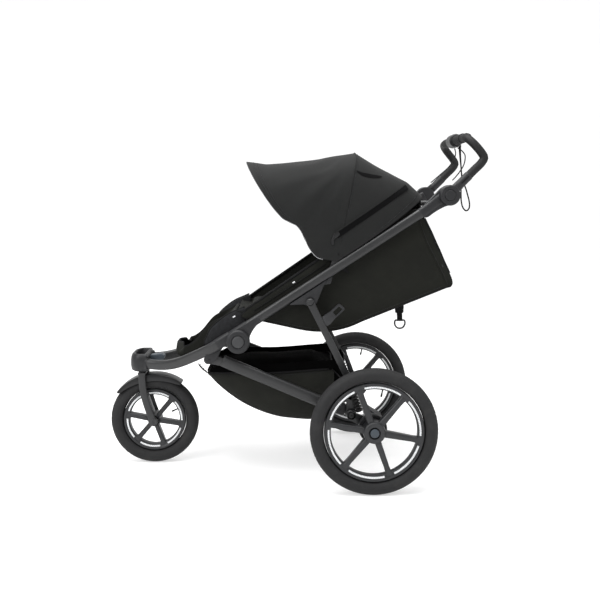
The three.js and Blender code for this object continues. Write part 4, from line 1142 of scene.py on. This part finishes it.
def seat_sides():
    outline = seat_outline()
    rear_end, front_end = min(p.x for p in outline) + 0.2, max(p.x for p in outline) - 0.2
    columns = []
    for i in range(141):
        t = i / 140
        x = rear_end + (front_end - rear_end) * (t - 0.1 * math.sin(2 * math.pi * t))
        low, high = span_at(outline, x)
        column = []
        for k in range(45):
            v = k / 44
            z = low + (high - low) * v
            inside = smooth(0, 0.12, v) * smooth(1, 0.9, v) if high - low > 4 else 0
            seam = seam_distance(x, z)
            pull = 2.4 * ripple(x * 0.55, 0, z, 62, 1.7) + 1.1 * ripple(x, 0, z, 24, 4.1)
            rear = smooth(-120, -215, x)
            crease = 2.0 * rear * math.sin((x * 0.55 + z) / 13.5) * math.exp(-((seam - 12) / 18) ** 2)
            y = 182.5 + inside * (2.2 + pull * (0.5 + rear) + crease) - 3.0 * math.exp(-(seam / 3.2) ** 2) * inside
            column.append((x, min(188.4, y), z))
        columns.append(column)
    side = Shape().grid(columns, around=False, caps=False)
    pieces = make("seat_side_#", side, SEAT, "upper_frame", "seat_fabric", ["seat_side_#"], solid=2.4, sharp=80)
    flatten(pieces)
    trim = Shape().bar([(p.x, 183.4, p.y) for p in outline[::2]], 2.3, 2.3, 260, 8, closed=True)
    flatten(make("seat_piping_#", trim, WEBBING, "upper_frame", "seat_fabric", sharp=60))
    thread = Shape().stitches([(x - 5, 187.6, z) for x, z in REAR_SEAM], 5.5, 0.6)
    thread.stitches([(p.x + 1, 187.2, p.y + 9) for p in outline[71:112:4]], 6, 0.6)
    flatten(make("seat_stitching_#", thread, THREAD, "upper_frame", "seat_fabric"))
    clips = Shape()
    for (x0, z0), (x1, z1) in (((-184, 812), (-193, 792)), ((-222, 727), (-238, 700))):
        clips.bar([(x0, 180, z0), (x1, 180, z1)], 6, 5, 6, 14, power=3)
    flatten(make("panel_clips_#", clips, PLASTIC, "upper_frame", "hard_plastic", bevel=1))

    # Padded wings at the front of the seat.
    wing = [(541, 446), (533, 470), (518, 500), (490, 527), (458, 549), (428, 562), (408, 571), (400, 555), (402, 506),
            (444, 484), (486, 461), (518, 438)]
    rings = []
    outer = rounded(wing, 9, 4)
    centre = middle_of(outer)
    for y, inset in ((164.5, 7), (165.5, 2.5), (168, 0.4), (171, 0), (174, 0.6), (176, 3), (176.6, 8)):
        ring = []
        for px, pz in outer:
            way = Vector((centre.x - px, centre.y - pz))
            ring.append((px + way.normalized().x * inset, y, pz + way.normalized().y * inset))
        rings.append(ring)
    for piece in make("side_wing_#", Shape().grid(rings), MELANGE, "upper_frame", "seat_fabric", sharp=80):
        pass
    wing_edge = Shape().bar([(px, 173, pz) for px, pz in wing[:7]], 2.4, 2.4, 60, 10)
    make("wing_piping_#", wing_edge, WEBBING, "upper_frame", "seat_fabric", sharp=60)
    rail = Shape().bar([(404, 182.5, 562), (380, 182.5, 579), (300, 182.5, 634), (220, 182.5, 689), (158, 182.5, 732)],
                       4.6, 4.6, 48, 14)
    rail.bar([(376, 186.8, 560), (260, 187.6, 636), (146, 187.4, 709)], 1.6, 1.6, 40, 8)
    flatten(make("seat_rail_#", rail, WEBBING, "upper_frame", "seat_fabric", sharp=60))
    tabs = Shape()
    for x, z, y in ((441, 541, 175.6), (247, 654, 187)):
        tabs.plate([(x - 5, z - 2), (x + 3, z - 6), (x + 6, z - 3), (x - 2, z + 2)], y, y + 2.2, 1)
    make("seat_tabs_#", tabs, REFLECTIVE, "upper_frame", "seat_fabric", bevel=0.5)


PAD_STEPS = 24


def pad_shape(line, half, thick):
    """A closed pad of the given half width and thickness along side-view points, its ends and sides rounded."""
    path = curve_points([(x, 0, z) for x, z in line], PAD_STEPS)
    rings = []
    for i, centre in enumerate(path):
        ahead = (path[min(i + 1, PAD_STEPS)] - path[max(i - 1, 0)]).normalized()
        up = Vector((ahead.z, 0, -ahead.x))
        up = up if up.z > 0 else -up
        near_end = min(1, 0.35 + min(i, PAD_STEPS - i) / 2.2)
        section = []
        for k in range(40):
            c, s = math.cos(2 * math.pi * (k + 0.5) / 40), math.sin(2 * math.pi * (k + 0.5) / 40)
            out = (abs(c) ** 5 + abs(s) ** 5) ** -0.2
            aside = Vector((0, half * c * out * (0.96 + 0.04 * near_end), 0))
            section.append(centre + aside + up * thick * s * out * near_end)
        rings.append(section)
    return Shape().grid(rings)


def seat_pad(name, points, half, thick, body, line, shares, long_seam, cross_reach, folds):
    """An inflated pad with sewn channels: across at shares of its line, along at long_seam off the middle."""
    pad = make(name, pad_shape(points, half, thick), SEAT, None, "seat_fabric", [name], sharp=80)
    inflate(pad, 0.007)
    locate, length = along(line)

    def seams(x, y, z):
        distance, over = locate(x, z)
        rib = sum(math.exp(-((distance - length * share) / 4.5) ** 2) for share in shares) * (abs(y) < cross_reach)
        rib += math.exp(-((abs(y) - long_seam) / 4.5) ** 2)
        return 3.2 * rib * smooth(-2, 6, over) + folds[0] * ripple(x, y, z, *folds[1:])

    quilt(pad, seams)
    pad.modifiers.new("smooth", "SUBSURF").levels = 1
    bake_modifiers(pad)
    shade(pad, 80)
    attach(pad, body)
    flatten(pad)


def rear_spine(t):
    """The rear panel's middle line, seen from the side, from its foot at 0 to its top at 1."""
    foot, bend, top = Vector((-262, 680)), Vector((-222, 770)), Vector((-180, 858))
    return foot.lerp(bend, min(1, t * 2)).lerp(top, max(0, t * 2 - 1))


def rear_rows(levels, half, columns, back, lift, folds):
    """Rows of a sheet on the rear panel, hollowed in its middle and set back millimetres behind its line."""
    rows = []
    for t in levels:
        spine = rear_spine(t)
        rows.append([(spine.x - 3 * math.sin(math.pi * t) * (1 - v * v) - back
                      + (folds * ripple(0, v * 170, spine.y, 50, 9) if folds else 0), half * v, spine.y + lift)
                     for v in [k / columns for k in range(-columns, columns + 1)]])
    return rows


def seat_pads():
    seat_pad("seat_base", [(400, 554.5), (330, 548), (240, 526), (152, 513.5)], 168, 8, "upper_frame", BASE_LINE,
             (0.33, 0.66), 118, 1000, (0.7, 34, 2))
    seat_pad("backrest", [(104, 519), (30, 548), (-110, 604), (-236, 655)], 167, 7.5, "backrest", BACK_LINE,
             (0.25, 0.5, 0.75), 124, 122, (0.8, 36, 6))

    # Liners below the pads that close the seat between its side panels.
    base_edge = [(434, 548), (404, 541), (330, 534), (240, 512), (176, 501), (116, 503)]
    back_edge = [(120, 502.6), (96, 507), (30, 533), (-110, 589), (-228, 637), (-254, 656)]
    for name, body, line, size in (("seat_liner", "upper_frame", base_edge, 0.34),
                                   ("back_liner", "backrest", back_edge, 0.42)):
        rows = [[(p.x, 180 * v, p.z + 11 * smooth(166, 179, abs(180 * v)) + 0.8 * ripple(p.x, 180 * v, 0, 40, 4))
                 for v in [math.sin(math.pi * k / 56) for k in range(-28, 29)]]
                for p in curve_points([(x, 0, z) for x, z in line], 40)]
        liner = make(name, Shape().grid(rows, around=False, caps=False), SEAT, body, "seat_fabric", solid=1.4, sharp=80)
        flatten(liner)

    # Rear panel with a mesh window.
    rows = rear_rows([i / 24 for i in range(25)], 172, 16, 0, 0, 1.6)
    rear = make("head_panel", Shape().grid(rows, around=False, caps=False), SEAT, "upper_frame", "seat_fabric",
                ["head_panel"], solid=2.4, sharp=80)
    flatten(rear)
    rows = rear_rows([0.18 + 0.62 * i / 12 for i in range(13)], 118, 12, 2.6, 0.6, 0)
    window = make("rear_window", Shape().grid(rows, around=False, caps=False), LINING, "upper_frame", "seat_fabric",
                  solid=1.2, sharp=80)
    flatten(window)
    frame_path = [rows[0][k] for k in range(0, 25, 4)] + [rows[i][24] for i in range(2, 11, 3)]
    frame_path += [rows[12][k] for k in range(24, -1, -4)] + [rows[i][0] for i in range(10, 1, -3)]
    border = Shape().bar(frame_path, 2.2, 2.2, 120, 8, closed=True, across=(1, 0, 0))
    flatten(make("window_binding", border, WEBBING, "upper_frame", "seat_fabric", sharp=60))


def ribbon(shape, points, half, thick, steps=24, across=(0, 1, 0)):
    """A flat strap along a path; half is its half width along across."""
    return shape.bar(points, half, thick, steps, 16, power=5, across=across)


def harness():
    straps = Shape()
    for side in (1, -1):
        ribbon(straps, [(-150, 52 * side, 640), (-80, 52 * side, 612), (20, 50 * side, 570), (90, 44 * side, 545),
                        (150, 30 * side, 541), (196, 16 * side, 551)], 12, 1.1, 48)
    shoulder = make("harness_shoulder", straps, WEBBING, None, "seat_fabric", sharp=50)
    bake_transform(shoulder)
    waist = Shape()
    for side in (1, -1):
        ribbon(waist, [(140, 150 * side, 531), (160, 110 * side, 540), (190, 60 * side, 551), (206, 22 * side, 553)],
               12, 1.1, 24, across=(0.9, 0, 0.3))
    ribbon(waist, [(262, 0, 543), (244, 0, 551), (226, 0, 555)], 12, 1.1, 10)
    make("harness_waist", waist, WEBBING, "upper_frame", "seat_fabric", sharp=50)
    pads = Shape()
    for side in (1, -1):
        pads.bar([(-128, 52 * side, 634), (-60, 52 * side, 607), (20, 50 * side, 574)], 22, 5, 24, 24, power=3.2,
                 size=lambda t: 0.72 + 0.28 * smooth(0, 0.12, t) * smooth(1, 0.88, t))
    cushions = make("harness_pads", pads, MELANGE, "backrest", "seat_fabric", subdivide=1, sharp=80)
    buckle = Shape().plate([(203, 541.5), (229, 546.5), (225, 561.5), (199, 556.5)], -22, 22, 5)
    buckle.plate([(206, 556), (222, 559), (220.6, 563), (204.4, 560)], -15, -9.4, 2)
    buckle.plate([(206, 556), (222, 559), (220.6, 563), (204.4, 560)], 9.4, 15, 2)
    make("harness_buckle", buckle, PLASTIC, "upper_frame", "hard_plastic", ["harness_buckle"], bevel=1.6)
    button = Shape().plate([(208.9, 556.3), (218, 558.1), (216.6, 564.6), (207.6, 562.8)], -8.6, 8.6, 2)
    make("buckle_button", button, ACCENT, "buckle_button", "accent_plastic", ["buckle_button"], bevel=1.2)

    # Pull strap and D-ring below the backrest.
    ring = [(-101.5, 45, 499), (-104, 45, 504), (-119, 45, 504.2), (-134, 45, 504), (-136.5, 45, 499),
            (-135.5, 45, 488), (-128, 45, 478.6), (-119, 45, 476.5), (-110, 45, 478.6), (-102.5, 45, 488)]
    d_ring = make("recline_ring", Shape().bar(ring, 3.0, 3.0, 72, 12, closed=True), BLACK_METAL, "backrest",
                  "bare_metal", ["recline_ring"], sharp=60)
    strap = Shape().plate([(-110, 501), (-108, 530), (-106, 582), (-124, 589), (-127, 530), (-128, 501)], 43.4, 46.6, 2)
    strap.plate([(-103, 530), (-101, 552), (-104, 574), (-130, 584), (-132, 552), (-131, 530)], 42.4, 47.6, 3)
    tab = make("recline_strap", strap, WEBBING, "backrest", "seat_fabric", bevel=0.7)
    flatten([d_ring, tab])


# ---- canopy -------------------------------------------------------------------------------------
PIVOT = (105, 745)
REAR_ANGLE, MID_ANGLE, RIM_ANGLE = 147, 101, 45
CROWN = [(147, 345), (136, 337), (101, 335.5), (51, 377), (45, 419)]
RIM_REACH = 419
HALF_WIDTH, BLEND_RADIUS = 213, 230
# The arch is a flattened oval: half width goes with sin ** WIDE and radius with cos ** TALL of the same angle.
WIDE, TALL = 0.62, 0.36
# The front rim's fan angle by its distance from the pivot.
FRONT_EDGE = [(0, -123), (20, -104), (31, -36), (44, -23), (55, -17), (66, -11), (90, 8), (112, 22), (137, 31),
              (160, 34.3), (185, 33.1), (210, 32.3), (313, 39), (419, 45)]
FOOT = 3


def crown_radius(angle):
    """Radius of the crown at a fan angle, on the straight line between two marks."""
    for (a0, r0), (a1, r1) in zip(CROWN, CROWN[1:]):
        if angle >= a1:
            break
    first, second = math.sin(math.radians(angle - a1)), math.sin(math.radians(a0 - angle))
    return math.sin(math.radians(a0 - a1)) / (first / r0 + second / r1)


def table_value(table, x):
    for (x0, y0), (x1, y1) in zip(table, table[1:]):
        if x <= x1:
            break
    return y0 + (y1 - y0) * (min(x, x1) - x0) / (x1 - x0)


def stations(count):
    """Even steps over the arch as (share of the half width, share of the crown's radius)."""
    fine = []
    for k in range(3001):
        t = math.pi / 2 * (1 - (1 - k / 3000) ** 3)
        fine.append((math.sin(t) ** WIDE, max(0.0, math.cos(t)) ** TALL))
    marks = [0.0]
    for (y0, r0), (y1, r1) in zip(fine, fine[1:]):
        marks.append(marks[-1] + math.hypot((y1 - y0) * HALF_WIDTH, (r1 - r0) * 335))
    half, k = [], 0
    for i in range(count + 1):
        while k < len(marks) - 1 and marks[k] < marks[-1] * i / count:
            k += 1
        half.append(fine[k])
    return [(-y, r) for y, r in reversed(half[1:])] + half


def canopy_point(angle, station, skin=0.0, folds=True):
    """A point of the canopy at a fan angle in degrees and a station; skin is the depth below the outer face."""
    width, height = station
    crown = crown_radius(angle)
    radius = FOOT + (crown - skin - FOOT) * height
    if angle < MID_ANGLE:
        share = (MID_ANGLE - angle) / (MID_ANGLE - RIM_ANGLE)
        reach = radius + (RIM_REACH - crown) * height ** 3
        fan = MID_ANGLE + (table_value(FRONT_EDGE, reach) - MID_ANGLE) * share
    else:
        share = (angle - MID_ANGLE) / (REAR_ANGLE - MID_ANGLE)
        fan = angle + math.degrees(math.asin(min(1.0, 18 / max(radius, 1)))) * (1 - height ** 2) * share
    y = (HALF_WIDTH - skin) * width
    turn = math.radians(fan)
    x, z = PIVOT[0] + radius * math.cos(turn), PIVOT[1] + radius * math.sin(turn)
    if folds:
        flank = abs(width) ** 6
        slack = math.sin(math.pi * share) * height
        swell = -4.5 * slack + 2.2 * ripple(x, y * 0.6, z, 75, 2.2) * slack
        if angle < MID_ANGLE:
            away = math.hypot(x - 48, z - 1075)
            spoke = math.atan2(z - 1075, x - 48)
            swell += 3.4 * math.sin(spoke * 17 + 1.5 * ripple(x, y, z, 120, 5)) * smooth(25, 130, away) * smooth(
                390, 170, away) * smooth(0, 0.25, share) * smooth(1.0, 0.9, share)
            swell += 6 * smooth(0.86, 1.0, share) * height * (1 - flank)
        y += math.copysign(swell * flank * 0.8, width)
        push = swell * (1 - flank)
        x, z = x + push * math.cos(turn), z + push * math.sin(turn)
    return Vector((x, max(-213.4, min(213.4, y)), z))


def on_flank(x, z, lift):
    """The canopy's outer face seen from the left at (x, z), lift millimetres proud."""
    dx, dz = x - PIVOT[0], z - PIVOT[1]
    angle = min(REAR_ANGLE, max(RIM_ANGLE, math.degrees(math.atan2(dz, dx))))
    height = min(0.999, max(0.0, (math.hypot(dx, dz) - FOOT) / (crown_radius(angle) - FOOT)))
    return Vector((x, HALF_WIDTH * (1 - height ** (2 / TALL)) ** 0.31 + lift, z))


STRIP_STEPS = 40


def flank_strip(path, half, lift, taper=None):
    """A strip lying on the canopy's flank along (x, z) points."""
    spots = curve_points([(x, 0, z) for x, z in path], STRIP_STEPS)
    rows = []
    for i, spot in enumerate(spots):
        ahead = (spots[min(i + 1, STRIP_STEPS)] - spots[max(i - 1, 0)]).normalized()
        wide = half * (taper(i / STRIP_STEPS) if taper else 1)
        rows.append([on_flank(spot.x - ahead.z * wide * t, spot.z + ahead.x * wide * t, lift)
                     for t in (-1, -0.5, 0, 0.5, 1)])
    return Shape().grid(rows, around=False, caps=False)


def canopy_blend(piece, section):
    """Bakes a piece's placement into its mesh, the same way for the rear and the front section."""
    if section == "rear":
        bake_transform(piece)
    else:
        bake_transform(piece)


def canopy_fitting(name, shape, finish, section, slot="canopy_fabric", **options):
    """Pieces sewn to both flanks, or one across the arch, for a section of the canopy."""
    made = make(name, shape, finish, None, slot, **options)
    for piece in made if isinstance(made, list) else [made]:
        canopy_blend(piece, section)


def canopy():
    arch = stations(52)
    rear = [[canopy_point(MID_ANGLE + (REAR_ANGLE - MID_ANGLE) * i / 28, spot) for spot in arch] for i in range(29)]
    front = [[canopy_point(MID_ANGLE + (RIM_ANGLE - MID_ANGLE) * i / 44, spot) for spot in arch] for i in range(45)]
    for name, rows, section, area in (("canopy_rear", rear, "rear", 0.17), ("canopy_front", front, "front", 0.26)):
        shape = Shape().grid(rows, around=False, caps=False)
        piece = make(name, shape, CANOPY, None, "canopy_fabric", [name], solid=1.8, sharp=80)
        canopy_blend(piece, section)
    coarse = stations(28)
    seam = Shape().bar([canopy_point(MID_ANGLE, spot, -0.6, False) for spot in coarse[2:-2]], 1.4, 2.2, 140, 8,
                       across=(1, 0, 0))
    make("canopy_seam", seam, CANOPY, "canopy_mid", "canopy_fabric", sharp=60)
    rim = [canopy_point(RIM_ANGLE, spot, 0.8) for spot in stations(60)[5:-5]]
    canopy_fitting("canopy_hem", Shape().bar(rim, 1.4, 1.8, 220, 10, across=(1, 0, 0)), PIPING, "front", sharp=60)
    stitch = Shape().stitches([canopy_point(RIM_ANGLE + 2.2, spot, -1.2) for spot in stations(30)[4:-4]], 6, 0.6)
    stitch.stitches([canopy_point(RIM_ANGLE + 3.4, spot, -1.2) for spot in stations(30)[4:-4]], 6, 0.6)
    canopy_fitting("hem_stitching", stitch, THREAD, "front")
    lines = Shape()
    for angle in (MID_ANGLE + 1.4, REAR_ANGLE - 3):
        lines.stitches([canopy_point(angle, spot, -1.2) for spot in coarse[3:-3]], 6, 0.6)
    canopy_fitting("rear_stitching", lines, THREAD, "rear")
    edge = Shape().bar([canopy_point(REAR_ANGLE, spot, 1) for spot in coarse[1:-1]], 2.4, 2.4, 160, 10,
                       across=(1, 0, 0))
    make("canopy_rear_binding", edge, WEBBING, "upper_frame", "canopy_fabric", sharp=60)

    # Mesh panel between the canopy's rear edge and the top of the rear panel.
    columns = []
    for k in range(-20, 21):
        width = 0.775 * k / 20
        lift = math.sqrt(1 - abs(width) ** (2 / WIDE)) ** TALL
        top = Vector(canopy_point(REAR_ANGLE, (width, lift), 4))
        foot = Vector((-176, HALF_WIDTH * width, 858))
        columns.append([foot.lerp(top, i / 12) for i in range(13)])
    vent_panel = make("canopy_apron", Shape().grid(columns, around=False, caps=False), LINING, "upper_frame",
                      "canopy_fabric", solid=1.2, sharp=80)

    for name, angle, inset, body in (("canopy_mid_bow", MID_ANGLE, 12.5, "canopy_mid"),
                                     ("canopy_front_bow", 50, 17.5, "canopy_front")):
        turn = math.radians(angle)
        start = (PIVOT[0] + 34 * math.cos(turn), PIVOT[1] + 34 * math.sin(turn))
        reach = crown_radius(angle) - inset - 26
        left = [Vector((start[0], HALF_WIDTH - inset, start[1]))]
        for across in (0.985, 0.94, 0.86, 0.72, 0.5, 0.25, 0):
            radius = 26 + reach * math.cos(across * math.pi / 2) ** TALL
            y = (HALF_WIDTH - inset) * math.sin(across * math.pi / 2) ** WIDE
            left.append(Vector((PIVOT[0] + radius * math.cos(turn), y, PIVOT[1] + radius * math.sin(turn))))
        path = left + [Vector((p.x, -p.y, p.z)) for p in reversed(left[:-1])]
        make(name, Shape().bar(path, 3.5, 3.5, 120, 14, across=(1, 0, 0)), BLACK_METAL, body, "bare_metal", [name],
             sharp=60)
        feet = Shape()
        for side in (1, -1):
            feet.bar([(PIVOT[0] + 12 * math.cos(turn), 202 * side, PIVOT[1] + 12 * math.sin(turn)),
                      (start[0], (HALF_WIDTH - inset) * side, start[1])], 4, 6, 4, 12, power=3)
        make(name + "_feet", feet, PLASTIC, body, "hard_plastic", bevel=0.8)

    # Zipped expansion band on each flank with its flap and puller, and the vent behind the middle bow.
    band = [(112, 803), (84, 822), (46, 848), (4, 876), (-40, 906), (-84, 936), (-121, 960)]
    split = 3
    above = [(x + 5.5, z + 8.6) for x, z in band]
    for name, line, half, lift, finish in (("zip_band", band, 9, 2.6, ZIP), ("zip_flap", above, 2.2, 3.8, CANOPY)):
        for section, part in (("front", line[:split]), ("rear", line[split - 1:])):
            canopy_fitting(f"{name}_{section}_#", flank_strip(part, half, lift), finish, section, solid=1.6, sharp=60)
    puller = Shape().plate([(110, 798), (100, 808), (106, 818), (118, 812), (124, 800), (118, 794)], 214.5, 217, 4)
    puller.bar([(118, 216.4, 800), (124, 217, 789), (123, 217, 776)], 1.8, 4, 6, 12, power=3)
    canopy_fitting("zip_puller_#", puller, GLOSSY, "front", "hard_plastic", bevel=0.8)
    vent = flank_strip([(47, 1011), (28, 1000), (2, 994), (-20, 992), (-38, 993)], 6, 1.6,
                       taper=lambda t: math.sin(math.pi * min(1, max(0, t))) ** 0.7 + 0.05)
    canopy_fitting("vent_slit_#", vent, ZIP, "rear", solid=1.4, sharp=60)


# ---- everything ---------------------------------------------------------------------------------
upper_frame()
handlebar()
front_frame()
rear_wheels()
front_wheel()
front_fork()
rear_legs()
lower_frame()
basket()
rear_axle()
seat_sides()
seat_pads()
harness()
canopy()

# ---- floor and light ----------------------------------------------------------------------------
HALF_FLOOR, FLOOR_END, BEND = 9000, -5000, 2500
floor_rows = [[(x, y, 0) for x in (-HALF_FLOOR, HALF_FLOOR)] for y in (HALF_FLOOR, FLOOR_END)]
for k in range(1, 13):
    bend = math.pi / 2 * k / 12
    floor_rows.append([(x, FLOOR_END - BEND * math.sin(bend), BEND * (1 - math.cos(bend)))
                       for x in (-HALF_FLOOR, HALF_FLOOR)])
floor_rows.append([(x, FLOOR_END - BEND, HALF_FLOOR) for x in (-HALF_FLOOR, HALF_FLOOR)])
pale = bpy.data.materials.new("floor")
pale.use_nodes = True
for key, value in (("Base Color", (0.60, 0.60, 0.60, 1)), ("Roughness", 0.9), ("Emission Color", (1, 1, 1, 1)),
                   ("Emission Strength", 0.47), ("Specular IOR Level", 0.1)):
    pale.node_tree.nodes["Principled BSDF"].inputs[key].default_value = value
build("floor", Shape().grid(floor_rows, around=False, caps=False), 1, pale, 0, 1, 80, 0, 0)

world = bpy.data.worlds.new("studio")
world.use_nodes = True
world.node_tree.nodes["Background"].inputs["Color"].default_value = (1, 1, 1, 1)
world.node_tree.nodes["Background"].inputs["Strength"].default_value = 0.7
bpy.context.scene.world = world
bpy.context.scene.view_settings.view_transform = "Standard"


def softbox(name, where, aim, size, power):
    data = bpy.data.lights.new(name, "AREA")
    data.shape, data.size, data.energy = "SQUARE", size, power
    lamp = bpy.data.objects.new(name, data)
    lamp.location = where
    lamp.rotation_euler = (Vector(aim) - Vector(where)).to_track_quat("-Z", "Y").to_euler()
    bpy.context.collection.objects.link(lamp)


softbox("top", (0.3, 0.4, 3.6), (0, 0, 0.4), 3.0, 190)
softbox("key", (2.6, 2.4, 2.4), (0, 0, 0.5), 1.8, 80)
softbox("fill", (-2.8, 2.2, 1.6), (0, 0, 0.5), 2.2, 25)
